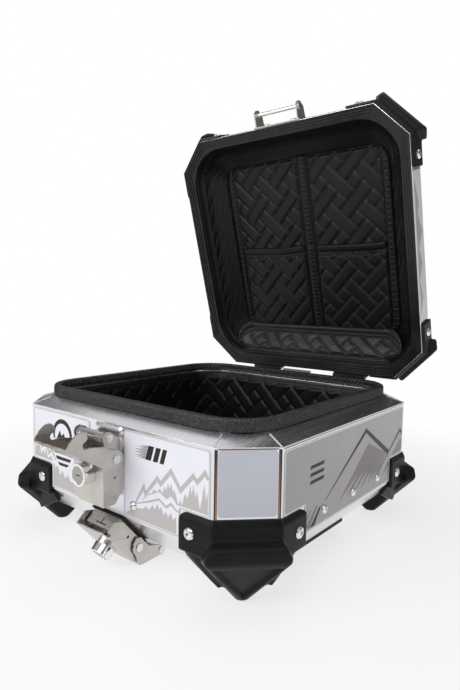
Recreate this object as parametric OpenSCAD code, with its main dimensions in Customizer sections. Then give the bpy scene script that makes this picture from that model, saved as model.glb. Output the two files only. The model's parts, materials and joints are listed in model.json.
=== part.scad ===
// Motorcycle top case: folded aluminium tub and hinged lid with draw latches.
// Frame: X across, Y from front to back, Z up, origin at the centre of the
// dock plate's underside. The tub is drawn with its underside on z = 0 and then
// lifted onto the dock plate. Lid parts are drawn in the tub's coordinates with
// the lid closed, then turned about the hinge line to the open rest pose.

/* [Case] */
// Overall width of the shells
case_w = 400; // [396:1:406]
// Overall depth of the shells
case_d = 394; // [390:1:400]
// Leg of the vertical corner cuts
corner_cut = 46; // [44:1:48]
// Height of the vertical walls of the tub, from its underside
tub_h = 136; // [134:1:138]
// Height of the slanted lower edge
bevel_h = 34; // [33:1:35]
// Inset of the slanted edges
bevel_in = 30; // [29:1:31]
// Sheet thickness
sheet = 1.6; // [1.5:0.1:1.8]

/* [Lid] */
// Height of the lid's vertical walls
lid_wall = 33; // [32:1:35]
// Height of the lid's slanted top edge
lid_bevel = 34; // [33:1:36]
// How far the lid stands open in the rest pose
lid_open = 73.7; // [60:0.1:80]
// Distance of the hinge line behind the back wall
hinge_back = 26; // [25:0.5:27]

/* [Dock] */
// Thickness of the dock plate
dock_t = 12; // [12:0.5:12]
// Spacing of the mounting holes across
dock_sx = 180; // [170:5:190]
// Spacing of the mounting holes front to back
dock_sy = 120; // [110:5:125]
// Radius of the mounting holes
dock_hole_r = 3.25; // [3.1:0.05:3.4]

/* [Latches] */
// Half width of the pressed handles
handle_hw = 26; // [26:0.5:26]
// Radius of the latch pins
pin_r = 3; // [2.8:0.1:3]
// Running clearance of the pins in their ears, radial
run_c = 0.06; // [0.04:0.01:0.08]
// Radius of the lock barrel
barrel_r = 12.4; // [12:0.1:12.6]

/* [Hidden] */
$fn = 48;

half_w = case_w / 2;
half_d = case_d / 2;
// from the centre to the faces of the cut corners
half_diag = (half_w + half_d - corner_cut) / sqrt(2);
// half lengths of the flat walls between the corner cuts
flat_x = half_w - corner_cut;
flat_y = half_d - corner_cut;
slab_len = 2 * case_w; // longer than the case in any direction
mouth = tub_h + 1;
lid_shoulder = mouth + lid_wall;
lid_top = lid_shoulder + lid_bevel;
// sloped shoulder of the tub and the upstand on its inner edge
shoulder_in = 25;
shoulder_z = tub_h + 9;
upstand_in = 27;
upstand_top = 155;
upstand_r = 52;
flange_t = 1.8;

// hinges
hinge_y = half_d + hinge_back;
hinge_z = tub_h - 8;
hinge_axis = [hinge_y, hinge_z];
hinge_x = 80;
hinge_screw_xs = [for (s = [-1, 1], t = [-20, 20]) s * hinge_x + t];
hinge_base_screw_z = 96;
hinge_lid_screw_z = 160;

// screws through the walls
wall_hole_len = 8;
screw_hole_r = 2.1;
guard_screw_x = flat_x - 27;
guard_screw_y = flat_y - 27;
guard_hole_r = 2.6;
tub_guard_zs = [47, 45]; // on the front and back walls, on the side walls
lid_guard_zs = [155, 155];
front_screw_x = 42;
front_screw_z = 51.6;
side_screw_ys = [-68, 0, 68];
side_screw_z = 51;
striker_screw_x = 24;
striker_screw_z = mouth + 14;

// upper latch; points are (y, z) of the tub
hole_r = pin_r + run_c;
pin_head_r = pin_r + 1.6;
handle_out = 28; // from the front wall to the handle's face
handle_y = -(half_d + handle_out);
up_pivot = [handle_y + 7, 126];
up_link = [handle_y + 15, 103];
lock_z = 86;
hook_close = 52; // turn about the link pin that brings the hook's notch onto the rod
notch = [-38.6, 22.4]; // from the link pin
rod_r = 3;
rod = up_link + turn(notch, -hook_close);

// dock latch: the same handle, laid along the front bevel
bevel_lean = atan2(bevel_in, bevel_h);
dock_link = [-178, -6];
dock_rod = [-143, -21];
dock_turn = 180 + bevel_lean;
dock_pivot_drawn = [handle_y + 17, 119]; // in the upper handle's place
dock_pivot = dock_link
  + turn([up_link[0] - dock_pivot_drawn[0], dock_pivot_drawn[1] - up_link[1]], dock_turn);

// ---------- shared shapes ----------
function turn(p, a) = [p[0] * cos(a) - p[1] * sin(a), p[0] * sin(a) + p[1] * cos(a)];
// (y, z) at a distance off the front bevel and a distance up along it
function bevel_pt(off, up) = [
  -(half_d - bevel_in) - up * sin(bevel_lean) - off * cos(bevel_lean),
  up * cos(bevel_lean) - off * sin(bevel_lean)];
// mirrored outline of a half width and a profile of [inset, height]
function outline(half, profile) = concat(
  [for (p = profile) [half - p[0], p[1]]],
  [for (i = [len(profile) - 1:-1:0]) [-(half - profile[i][0]), profile[i][1]]]);
module slab(half, profile) rotate([90, 0, 0])
  linear_extrude(slab_len, center = true) polygon(outline(half, profile));
// straight-sided body with slanted edges and cut vertical corners
module octbody(grow, profile) intersection() {
  slab(half_w + grow, profile);
  rotate([0, 0, 90]) slab(half_d + grow, profile);
  rotate([0, 0, 45]) slab(half_diag + grow, profile);
  rotate([0, 0, -45]) slab(half_diag + grow, profile);
}
// centred rounded rectangle given by half sizes
module rrect(half_x, half_y, r) {
  square([2 * half_x, 2 * (half_y - r)], center = true);
  square([2 * (half_x - r), 2 * half_y], center = true);
  for (x = [-1, 1], y = [-1, 1])
    translate([x * (half_x - r), y * (half_y - r)]) circle(r, $fn = 96);
}
// rounded rectangle held in from the case outline
module inset_rrect(inset, r) rrect(half_w - inset, half_d - inset, r);
module ring(in0, in1, z0, z1, r) translate([0, 0, z0]) linear_extrude(z1 - z0) difference() {
  inset_rrect(in0, r);
  inset_rrect(in1, r - (in1 - in0));
}
// rounded rectangle with its lower left corner at the origin
module rounded(w, h, r) {
  translate([r, 0]) square([w - 2 * r, h]);
  translate([0, r]) square([w, h - 2 * r]);
  for (x = [r, w - r], y = [r, h - r]) translate([x, y]) circle(r);
}
// plate drawn in (x, z), thickness t from y0 towards the front
module front_plate(y0, t) translate([0, y0, 0]) rotate([90, 0, 0]) linear_extrude(t) children();
// plate drawn in (y, z), thickness t from x0 towards +X
module side_plate(x0, t) translate([x0, 0, 0])
  multmatrix([[0, 0, 1, 0], [1, 0, 0, 0], [0, 1, 0, 0], [0, 0, 0, 1]])
  linear_extrude(t) children();
// cylinder along X from x0 to x1 through the (y, z) point p
module xcyl(x0, x1, p, r) translate([x0, p[0], p[1]])
  rotate([0, 90, 0]) cylinder(r = r, h = x1 - x0);
// centred cutters along X and Y
module hole_x(x, y, z, r, h) translate([x, y, z])
  rotate([0, 90, 0]) cylinder(r = r, h = h, center = true);
module hole_y(x, y, z, r, h) translate([x, y, z])
  rotate([90, 0, 0]) cylinder(r = r, h = h, center = true);
module both_sides() for (m = [0, 1]) mirror([m, 0, 0]) children();
module four_corners() for (m = [0, 1], n = [0, 1])
  mirror([m, 0, 0]) mirror([0, n, 0]) children();
module lift() translate([0, 0, dock_t]) children();
// lid parts: from closed coordinates to the open rest pose
module on_lid() lift() translate([0, hinge_y, hinge_z]) rotate([-lid_open, 0, 0])
  translate([0, -hinge_y, -hinge_z]) children();
// button-head screw pointing along -Z, head on z = 0, socket in its top
module button_screw(r, shank_r, shank_len) difference() {
  union() {
    rotate_extrude() polygon([[0, 0], [r, 0], [r, 0.8], [r * 0.86, 2.1], [r * 0.55, 3], [0, 3.2]]);
    translate([0, 0, -shank_len]) cylinder(r = shank_r, h = shank_len + 0.1);
  }
  translate([0, 0, 1.4]) cylinder(r = r * 0.36, h = 4, $fn = 6);
}
// stand children on a wall with their +Z pointing out of it
module on_front(x, z, off = 0) translate([x, -half_d - off, z]) rotate([90, 0, 0]) children();
module on_right(y, z, off = 0) translate([half_w + off, y, z]) rotate([90, 0, 90]) children();
module on_left(y, z, off = 0) translate([-half_w - off, y, z]) rotate([90, 0, -90]) children();
module on_back(x, z, off = 0) translate([x, half_d + off, z]) rotate([90, 0, 180]) children();

// screw places and wall holes shared by several pieces
module mounting_spots() for (x = [-1, 1], y = [-1, 1])
  translate([x * dock_sx / 2, y * dock_sy / 2, 0]) children();
module dock_screw_spots() for (x = [-1, 1], y = [-95, 55]) translate([x * 115, y, 0]) children();
module guard_holes(zs) for (x = [-1, 1], y = [-1, 1]) {
  hole_y(x * guard_screw_x, y * half_d, zs[0], guard_hole_r, wall_hole_len);
  hole_x(x * half_w, y * guard_screw_y, zs[1], guard_hole_r, wall_hole_len);
}
module hinge_holes(z, r, h) for (x = hinge_screw_xs) hole_y(x, half_d, z, r, h);
module striker_holes(h) for (s = [-1, 1])
  hole_y(s * striker_screw_x, -half_d, striker_screw_z, screw_hole_r, h);

// ---------- tub ----------
// profiles: [inset, height]
tub_out = [[bevel_in, 0], [0, bevel_h], [0, tub_h], [shoulder_in, shoulder_z]];
tub_in = [[bevel_in - 0.9, sheet], [0, bevel_h + 0.6], [0, tub_h - 1.1],
  [shoulder_in, shoulder_z - 1.1]];
// bead pressed out of the front wall, above the latch bracket
bead_axis = [-half_d + 5.5, 128.6];
bead_r = 8;
bead_ends = [-18, 19];
module front_bead() intersection() {
  union() {
    xcyl(bead_ends[0], bead_ends[1], bead_axis, bead_r);
    for (x = bead_ends) translate([x, bead_axis[0], bead_axis[1]]) sphere(bead_r);
  }
  translate([-60, -half_d - 10, 100]) cube([120, 10.8, 34]);
}
module base_shell() color("silver") lift() difference() {
  union() {
    difference() {
      octbody(0, tub_out);
      octbody(-sheet, tub_in);
      translate([0, 0, tub_h - 4]) linear_extrude(30)
        inset_rrect(upstand_in, upstand_r - (upstand_in - shoulder_in));
    }
    front_bead();
    ring(shoulder_in, upstand_in, shoulder_z - flange_t, upstand_top, upstand_r);
    ring(shoulder_in + 0.5, 30.8, shoulder_z - flange_t, shoulder_z, upstand_r - 0.5);
  }
  mounting_spots() translate([0, 0, -1]) cylinder(r = dock_hole_r, h = 5);
  dock_screw_spots() translate([0, 0, -1]) cylinder(r = 2.5, h = 5);
  guard_holes(tub_guard_zs);
  for (s = [-1, 1]) {
    hole_y(s * front_screw_x, -half_d, front_screw_z, screw_hole_r, wall_hole_len);
    for (y = side_screw_ys) hole_x(s * half_w, y, side_screw_z, screw_hole_r, wall_hole_len);
  }
  hinge_holes(hinge_base_screw_z, screw_hole_r, wall_hole_len);
}
// rubber edge trim that grips the upstand, with three grooves around its outside
module base_rim_trim() color([0.05, 0.05, 0.05]) lift() difference() {
  union() {
    ring(22.5, 30.5, 146.2, 156.8, 54.5);
    ring(23.4, 29.6, 156.7, 158, 53.6);
  }
  ring(shoulder_in - 0.05, upstand_in + 0.05, 140, upstand_top + 0.1, upstand_r + 0.05);
  for (z = [149, 152, 155]) difference() {
    translate([0, 0, z]) linear_extrude(0.9) inset_rrect(22, 55);
    translate([0, 0, z - 1]) linear_extrude(3) inset_rrect(23.1, 53.9);
  }
}
// padded wall lining
module base_liner() color([0.12, 0.12, 0.12]) lift() ring(31.6, 37.5, 8, 142.6, 46);
module floor_mat() color([0.14, 0.14, 0.14]) lift() difference() {
  translate([0, 0, sheet + 0.2]) linear_extrude(4) inset_rrect(33, 44);
  mounting_spots() cylinder(r = 7, h = 20);
}

// ---------- dock plate ----------
dock_outline = [[-163, -72], [-145, -90], [145, -90], [163, -72],
  [163, 72], [145, 90], [-145, 90], [-163, 72]];
// four mounting holes, four screw holes, two rail grooves and two front recesses
module dock_plate() color([0.08, 0.08, 0.08]) lift() difference() {
  translate([0, -20, -dock_t]) linear_extrude(dock_t - 0.1) polygon(dock_outline);
  mounting_spots() translate([0, 0, -dock_t - 1]) cylinder(r = dock_hole_r, h = dock_t + 2);
  for (x = [-1, 1]) {
    translate([x * 133 - 7, -95, -dock_t - 1]) cube([14, 150, 7]);
    translate([x * 40 - 22, -112, -dock_t - 1]) cube([44, 16, 9]);
  }
  dock_screw_spots() translate([0, 0, -dock_t - 1]) {
    cylinder(r = 2.5, h = dock_t + 2);
    cylinder(r = 6.4, h = 5.5);
  }
}
module dock_screws() color([0.75, 0.75, 0.75]) lift() dock_screw_spots()
  translate([0, 0, -dock_t + 4.5]) rotate([180, 0, 0]) button_screw(5.5, 2.4, 9);

// ---------- corner guards ----------
// every guard is drawn at the front right corner
guard_t = 4;
ear_reach = 43; // from the corner edge to the ear's end
ear_len = 45.6;
ear_low = 26;
ear_high = 66;
// one ear on the front wall and one on the right wall
module guard_ears() {
  translate([flat_x - ear_reach, -half_d, 0]) rotate([90, 0, 0])
    linear_extrude(guard_t) children();
  translate([half_w, -flat_y + ear_reach, 0]) rotate([90, 0, -90]) mirror([0, 0, 1])
    linear_extrude(guard_t) children();
}
// band across the cut corner
module corner_band(z) translate([0, 0, z]) linear_extrude(33) polygon([
  [flat_x - 1.6, -half_d - guard_t], [flat_x + 1.66, -half_d - guard_t],
  [half_w + guard_t, -flat_y - 1.66], [half_w + guard_t, -flat_y + 1.6],
  [half_w - 8, -flat_y], [flat_x, -half_d + 8]]);
// pairs of balls on the cut corner; rows: [half spacing, distance out, z, radius]
module ball_pairs(rows) for (row = rows, s = [-1, 1]) {
  along = s * row[0];
  translate([(flat_x + half_w) / 2 + (along + row[1]) * sqrt(0.5),
    -(flat_y + half_d) / 2 + (along - row[1]) * sqrt(0.5), row[2]]) sphere(row[3], $fn = 20);
}
// wings on the slanted edges, one hull for the front and one for the right side;
// rows: [distance back from the corner edge, inset from the wall, depth, z]
module wings(rows, h) {
  hull() for (row = rows)
    translate([flat_x - row[0], -half_d + row[1], row[3]]) cube([1, row[2], h]);
  hull() for (row = rows)
    translate([half_w - row[1] - row[2], -flat_y + max(row[0] - 1, 0), row[3]])
      cube([row[2], 1, h]);
}
module guard_bores(zs) {
  hole_y(guard_screw_x, -half_d, zs[0], guard_hole_r, 30);
  hole_x(half_w, -guard_screw_y, zs[1], guard_hole_r, 30);
}
module tub_ear() {
  r = 10;
  translate([0, ear_low]) square([ear_len, ear_high - ear_low - r]);
  translate([r, ear_low]) square([ear_len - r, ear_high - ear_low]);
  translate([r, ear_high - r]) circle(r);
}
// guard of the tub; its lowest point is the case's foot
module tub_guard() difference() {
  union() {
    guard_ears() tub_ear();
    corner_band(34);
    // rolled bumper, blended down to the foot
    hull() ball_pairs([[34, 15, 41, 4], [38, 15, 33, 4], [32, 4, 47, 1], [44, 3, 30, 1]]);
    hull() {
      ball_pairs([[38, 14, 31, 4], [42, 0, 27, 2]]);
      translate([flat_x + 2, -flat_y - 2, -28]) cylinder(r = 7, h = 4);
      translate([flat_x - 22, -flat_y + 20, 2]) cylinder(r = 3, h = 3);
    }
    wings([[ear_reach, 2, 2, 27], [ear_reach, 9, 4, 15], [0, 2, 2, 27], [0, 9, 12, -5]], 3);
  }
  octbody(0.1, [[bevel_in, -0.1], [0, bevel_h], [0, 200]]);
  guard_bores(tub_guard_zs);
}
module cap_ear() {
  r = 8;
  translate([0, mouth + 1 + r]) square([ear_len, lid_wall - r]);
  translate([r, mouth + 1]) square([ear_len - r, lid_wall]);
  translate([r, mouth + 1 + r]) circle(r);
}
// guard of the lid
module cap_guard() difference() {
  union() {
    guard_ears() cap_ear();
    corner_band(mouth + 1);
    hull() {
      ball_pairs([[33, 8, 156, 4], [37, 8, 166, 4], [30, 3, 150, 1], [43, 0, 172, 3]]);
      translate([flat_x + 2, -flat_y - 2, 199]) sphere(5, $fn = 24);
    }
    wings([[42, 1, 2, 171], [42, 9, 3, 180], [0, 1, 2, 171], [0, 14, 6, 191]], 2);
  }
  octbody(0.1, [[0, 100], [0, lid_shoulder], [bevel_in, lid_top + 0.1]]);
  guard_bores(lid_guard_zs);
}
module guard_screw_set(zs) for (s = [-1, 1]) {
  on_front(s * guard_screw_x, zs[0], guard_t) button_screw(6.3, 2.4, 5.8);
  on_back(s * guard_screw_x, zs[0], guard_t) button_screw(6.3, 2.4, 5.8);
  on_right(s * guard_screw_y, zs[1], guard_t) button_screw(6.3, 2.4, 5.8);
  on_left(s * guard_screw_y, zs[1], guard_t) button_screw(6.3, 2.4, 5.8);
}
module guard_front_right() color([0.1, 0.1, 0.1]) lift() tub_guard();
module guard_front_left() color([0.1, 0.1, 0.1]) lift() mirror([1, 0, 0]) tub_guard();
module guard_rear_right() color([0.1, 0.1, 0.1]) lift() mirror([0, 1, 0]) tub_guard();
module guard_rear_left() color([0.1, 0.1, 0.1]) lift()
  mirror([1, 0, 0]) mirror([0, 1, 0]) tub_guard();
module guard_screws() color([0.8, 0.8, 0.8]) lift() guard_screw_set(tub_guard_zs);
module lid_guard_front_right() color([0.1, 0.1, 0.1]) on_lid() cap_guard();
module lid_guard_front_left() color([0.1, 0.1, 0.1]) on_lid() mirror([1, 0, 0]) cap_guard();
module lid_guard_rear_right() color([0.1, 0.1, 0.1]) on_lid() mirror([0, 1, 0]) cap_guard();
module lid_guard_rear_left() color([0.1, 0.1, 0.1]) on_lid()
  mirror([1, 0, 0]) mirror([0, 1, 0]) cap_guard();
module lid_guard_screws() color([0.8, 0.8, 0.8]) on_lid() guard_screw_set(lid_guard_zs);

// ---------- thin printed panels ----------
decal_t = 0.5;
decal_gap = 0.05; // off the wall
decal_low = 36.6;
decal_r = 4;
decal_hole_r = 2.3;
ear_cut = [60, 40.6]; // clearance for a guard's ear
// right front panel from x = inner, stopping short of the guard's ear
module front_decal(inner) on_front(0, 0, decal_gap) linear_extrude(decal_t) difference() {
  translate([inner, decal_low]) rounded(flat_x - 4 - inner, 96.4, decal_r);
  translate([flat_x - ear_reach - 0.6, ear_low]) square(ear_cut);
  translate([front_screw_x, front_screw_z]) circle(decal_hole_r);
}
// outline on a wall of half length flat, cleared around both ears
module wall_panel(flat, margin, h) difference() {
  translate([-flat + margin, decal_low]) rounded(2 * (flat - margin), h, decal_r);
  for (s = [-1, 1]) translate([s * (flat - 13.4) - ear_cut[0] / 2, ear_low]) square(ear_cut);
}
module side_decal() linear_extrude(decal_t) difference() {
  wall_panel(flat_y, 3.5, 95.4);
  for (y = side_screw_ys) translate([y, side_screw_z]) circle(decal_hole_r);
}
module decal_front_right() color([0.9, 0.91, 0.95]) lift() front_decal(26);
module decal_front_left() color([0.9, 0.91, 0.95]) lift() mirror([1, 0, 0]) front_decal(34);
module decal_right() color([0.65, 0.64, 0.67]) lift() on_right(0, 0, decal_gap) side_decal();
module decal_left() color([0.65, 0.64, 0.67]) lift() on_left(0, 0, decal_gap) side_decal();
module decal_back() color([0.65, 0.64, 0.67]) lift() on_back(0, 0, decal_gap)
  linear_extrude(decal_t) wall_panel(flat_x, 4, 47.4);
// upright panels on the cut corners
module decal_corners() color([0.7, 0.71, 0.76]) lift() four_corners()
  translate([(flat_x + half_w) / 2 - half_diag * sqrt(0.5),
    -((flat_y + half_d) / 2 - half_diag * sqrt(0.5)), 69])
  rotate([0, 0, 45]) translate([0, -half_diag - decal_gap, 0]) rotate([90, 0, 0])
  linear_extrude(decal_t) translate([-28.5, 0]) rounded(57, 65, decal_r);
// strip on the lid's wall from a to b
module lid_strip(a, b) linear_extrude(decal_t)
  translate([a, mouth + 3]) rounded(b - a, lid_wall - 5, 3);
module lid_decals() color([0.85, 0.85, 0.88]) on_lid() {
  both_sides() on_front(0, 0, decal_gap) lid_strip(52, flat_x - 46);
  on_right(0, 0, decal_gap) lid_strip(-(flat_y - 46), flat_y - 46);
  on_left(0, 0, decal_gap) lid_strip(-(flat_y - 46), flat_y - 46);
}
module wall_screws() color([0.85, 0.85, 0.85]) lift() {
  for (s = [-1, 1]) on_front(s * front_screw_x, front_screw_z, 0.6) button_screw(5.2, 2, 7);
  for (y = side_screw_ys) {
    on_right(y, side_screw_z, 0.6) button_screw(4.8, 2, 7);
    on_left(y, side_screw_z, 0.6) button_screw(4.8, 2, 7);
  }
}

// ---------- hinges ----------
knuckle = 12; // pitch
knuckle_gap = 0.2; // at each end
knuckle_len = knuckle - 2 * knuckle_gap;
base_knuckles = [-2, 0, 2];
lid_knuckles = [-1, 1];
function knuckle_x(s, i) = s * hinge_x + i * knuckle - knuckle / 2 + knuckle_gap;
// knuckles of both hinges, each with the (y, z) arm given as child
module knuckles(places) for (s = [-1, 1], i = places) {
  xcyl(knuckle_x(s, i), knuckle_x(s, i) + knuckle_len, hinge_axis, 6.5);
  side_plate(knuckle_x(s, i), knuckle_len) children();
}
module hinge_bore() for (s = [-1, 1])
  xcyl(s * hinge_x - 40, s * hinge_x + 40, hinge_axis, 3.06);
module hinge_base_leaves() color([0.09, 0.09, 0.09]) lift() difference() {
  union() {
    knuckles(base_knuckles) polygon([[half_d + 0.1, 104], [hinge_y + 4, hinge_z - 5],
      [hinge_y - 2, hinge_z + 4], [hinge_y - 8, hinge_z], [half_d + 0.1, 126]]);
    for (s = [-1, 1]) translate([s * hinge_x - 30, half_d + 0.05, 88]) cube([60, 3, 40]);
  }
  hinge_bore();
  hinge_holes(hinge_base_screw_z, 2.2, 30);
}
module hinge_lid_leaves() color([0.09, 0.09, 0.09]) on_lid() difference() {
  union() {
    knuckles(lid_knuckles) polygon([[half_d + 0.1, 141], [hinge_y - 5, hinge_z + 3.5],
      [hinge_y + 3, hinge_z + 5.5], [half_d + 6, 156], [half_d + 0.1, 160]]);
    for (s = [-1, 1]) {
      translate([s * hinge_x - 30, half_d + 0.05, 140]) cube([60, 3, 28]);
      translate([s * hinge_x - 28, half_d + 0.05, 132.5]) cube([56, 5.2, 9]);
    }
  }
  hinge_bore();
  hinge_holes(hinge_lid_screw_z, 2.2, 30);
}
module hinge_pins() color([0.7, 0.7, 0.7]) lift() for (s = [-1, 1]) {
  xcyl(s * hinge_x - 31, s * hinge_x + 31, hinge_axis, 3);
  for (e = [-1, 1])
    xcyl(s * hinge_x + e * 31.4 - 1.2, s * hinge_x + e * 31.4 + 1.2, hinge_axis, 4.6);
}
module hinge_screws() color([0.75, 0.75, 0.75]) lift()
  for (x = hinge_screw_xs) on_back(x, hinge_base_screw_z, 3.1) button_screw(4.6, 2, 7);
// stainless plate between the hinges that stops the opened lid
module lid_stop_plate() color([0.75, 0.73, 0.7]) lift() side_plate(-45, 55) polygon([
  [half_d + 0.1, 96], [half_d + 2.1, 96], [half_d + 2.1, 129.5],
  [hinge_y + 0.9, 152.9], [hinge_y - 0.7, 154.1], [half_d + 0.1, 130.6]]);

// ---------- latch bodies ----------
// all drawn for the upper latch: pressed channel with a closed front and pierced ears
handle_t = 1.5;
module handle_side(pivot) difference() {
  union() {
    // a pivot close to the face needs one more point on the front edge
    polygon(concat([[handle_y, 52.7], [handle_y + 16, 52.7], [handle_y + 23, 62],
      [handle_y + 23, 96], pivot + [6.8, -2.5], pivot + [-6.8, 1.5]],
      pivot[0] - handle_y < 10 ? [[handle_y + 1.8, 116]] : [],
      [[handle_y + 1.5, 111], [handle_y, 109.5]]));
    translate(pivot) circle(7);
  }
  translate(pivot) circle(hole_r);
  translate(up_link) circle(hole_r);
  translate([handle_y + 15.5, 82]) circle(1.6);
}
// cylinder on the lock's axis, starting at y0 from the handle's face, towards the back
module lock_cyl(y0, r, h) translate([0, handle_y + y0, lock_z])
  rotate([-90, 0, 0]) cylinder(r = r, h = h);
module handle_body(pivot) difference() {
  union() {
    both_sides() side_plate(handle_hw - handle_t, handle_t) handle_side(pivot);
    // front web, cut away above the link
    front_plate(handle_y + handle_t, handle_t) polygon([[-handle_hw, 62.5],
      [-handle_hw + 10, 52.7], [handle_hw, 52.7], [handle_hw, 106], [23, 109], [-23, 109],
      [-handle_hw, 106]]);
  }
  // cut corner of the free end
  translate([-handle_hw - 1, handle_y - 1, 50]) rotate([0, 45, 0])
    translate([-9, 0, -9]) cube([18, 5, 18]);
  lock_cyl(-1, 9.1, 4);
}
module barrel_body() difference() {
  union() {
    lock_cyl(-13.5, barrel_r, 13.4, $fn = 64);
    lock_cyl(-0.2, 8.5, 12, $fn = 64);
    lock_cyl(1.6, 12.5, 3, $fn = 6);
  }
  lock_cyl(-20, 6.06, 40);
  lock_cyl(-14, 9.66, 3.5);
}
module plug_body() difference() {
  union() {
    lock_cyl(-13.2, 9.6, 2.6);
    lock_cyl(-12, 6, 24.8);
    // cam behind the barrel
    translate([-12.4, handle_y + 12.2, lock_z - 4.5]) cube([18, 2, 9]);
  }
  // key slot
  translate([-3.2, handle_y - 14, lock_z - 0.6]) cube([6.4, 9, 1.2]);
}
// strip that the turned cam sits behind, on two arms ending foot short of the wall
catch_y = 9.6; // from the handle's face
catch_z = 95.4;
module cam_catch(foot) {
  translate([-10, handle_y + catch_y, catch_z]) cube([20, 1.8, 2.8]);
  for (x = [-10, 8])
    translate([x, handle_y + catch_y, catch_z]) cube([2, handle_out - catch_y - foot, 2.8]);
}
// headed pin across the latch, e is the place of the heads
module pin_body(p, e) {
  xcyl(-e - 0.5, e + 0.5, p, pin_r);
  both_sides() xcyl(e, e + 1.1, p, pin_head_r);
}

// ---------- upper latch ----------
hook_in = 27.4; // x of the hook plates' inner faces
hook_t = 1.8;
// hook plate, (y, z) from the link pin
hook_outline = [
  [8.5, 2], [-4, -8.6], [-16, -7.2], [-60.8, 20.5], [-61.2, 22.6], [-57.6, 28],
  [-53.6, 32.6], [-48.6, 36.2], [-43.6, 36.8], [-38.6, 34], [-36.6, 30.6], [-37.4, 28.4],
  [-39, 26.6], [-43, 22.4], [-38.6, 18.2], [-33, 19], [-16, 16.4], [-8, 12.4], [2, 9.3]];
module hook_side() difference() {
  union() {
    polygon(hook_outline);
    circle(9.2);
    translate([-43.4, 32]) circle(4.9);
    translate([-39.4, 30.6]) circle(2.8);
  }
  translate(notch) circle(4.2);
  translate([notch[0], notch[1] - 2.2]) rotate(12) square([14, 6.2]);
  circle(hole_r);
}
// side hooks joined by a web
module hook_body() {
  both_sides() side_plate(hook_in, hook_t) hook_side();
  difference() {
    side_plate(-hook_in - 0.1, 2 * hook_in + 0.2)
      polygon([[-17, -6.4], [-60.8, 20.5], [-60, 22.2], [-16.6, -4.6]]);
    // relief over the lock barrel
    translate([0, -60, lock_z - up_link[1]]) rotate([-90, 0, 0])
      cylinder(r = barrel_r + 0.8, h = 60, $fn = 64);
  }
}
bracket_ear_x = 20.4; // inner face of both latches' bracket ears
bracket_ear_t = 2;
module latch_bracket() color([0.7, 0.69, 0.67]) lift() difference() {
  union() {
    front_plate(-half_d - 0.1, 2) translate([-22.4, 58]) rounded(44.8, 63.5, 3);
    both_sides() side_plate(bracket_ear_x, bracket_ear_t) {
      polygon([[-half_d - 0.1, 96], [-half_d - 0.1, 120.5], [-half_d - 4, 122],
        [up_pivot[0] + 4, 132], [up_pivot[0] - 5.4, 128], [up_pivot[0] - 4, 121]]);
      translate(up_pivot) circle(6);
    }
    cam_catch(1.5);
  }
  xcyl(-40, 40, up_pivot, pin_r);
  for (x = [-14, 14], z = [66, 114]) hole_y(x, -half_d, z, screw_hole_r, 12);
}
// with a sleeve between the bracket's ears
module latch_pivot_pin() color([0.8, 0.8, 0.8]) lift() {
  pin_body(up_pivot, handle_hw + 0.1);
  xcyl(-20.2, 20.2, up_pivot, 5.4);
}
module latch_link_pin() color([0.8, 0.8, 0.8]) lift() pin_body(up_link, hook_in + hook_t + 0.2);
module latch_handle() color([0.76, 0.74, 0.71]) lift() handle_body(up_pivot);
module latch_barrel() color([0.85, 0.85, 0.86]) lift() barrel_body();
module latch_key_plug() color([0.6, 0.6, 0.6]) lift() plug_body();
module latch_hook() color([0.76, 0.74, 0.71]) lift()
  translate([0, up_link[0], up_link[1]]) hook_body();

// ---------- dock latch ----------
// carries the handle onto the front bevel: the link pin lands on dock_link, the
// handle's free end points up and out, and its face looks down and forward
module to_dock() translate([0, dock_link[0], dock_link[1]]) rotate([dock_turn, 0, 0])
  rotate([0, 0, 180]) translate([0, -up_link[0], -up_link[1]]) children();
// (y, z) rectangle on the bevel, from off0 to off1 out of it and up0 to up1 along it
module bevel_rect(off0, off1, up0, up1) polygon([
  bevel_pt(off0, up0), bevel_pt(off1, up0), bevel_pt(off1, up1), bevel_pt(off0, up1)]);
module dock_latch_pad() color([0.07, 0.07, 0.07]) lift()
  side_plate(-27, 54) bevel_rect(0.12, 2.6, -4, 47);
module dock_latch_bracket() color([0.7, 0.69, 0.67]) lift() difference() {
  union() {
    both_sides() side_plate(bracket_ear_x, bracket_ear_t) {
      polygon([bevel_pt(2.7, -2), bevel_pt(2.7, 45.6), bevel_pt(19, 45.6), bevel_pt(20, 40),
        bevel_pt(20, 4), dock_pivot + [-5.8, -1.5], dock_pivot + [5.8, 1.5]]);
      translate(dock_pivot) circle(6);
    }
    // base plate and upper end plate
    side_plate(-22.3, 44.6) bevel_rect(2.7, 4.7, -2, 45.6);
    side_plate(-22.3, 44.6) bevel_rect(2.7, 19, 44, 45.6);
    to_dock() cam_catch(4.6);
  }
  xcyl(-40, 40, dock_pivot, pin_r);
  // T slot in the end plate
  translate([0, -(half_d - bevel_in), 0]) rotate([bevel_lean, 0, 0]) {
    translate([-8, -15.6, 40]) cube([16, 1.6, 8]);
    translate([-0.8, -15, 40]) cube([1.6, 7, 8]);
  }
}
module dock_latch_pivot_pin() color([0.8, 0.8, 0.8]) lift()
  pin_body(dock_pivot, handle_hw + 0.1);
// one short pin on each side, headed at both ends
module dock_latch_link_pin() color([0.8, 0.8, 0.8]) lift() both_sides() {
  xcyl(24.3, 29.7, dock_link, pin_r);
  xcyl(23.3, 24.4, dock_link, pin_head_r);
  xcyl(29.4, 30.5, dock_link, pin_head_r);
}
module dock_latch_handle() color([0.76, 0.74, 0.71]) lift()
  to_dock() handle_body(dock_pivot_drawn);
module dock_latch_barrel() color([0.85, 0.85, 0.86]) lift() to_dock() barrel_body();
module dock_latch_key_plug() color([0.6, 0.6, 0.6]) lift() to_dock() plug_body();
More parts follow.
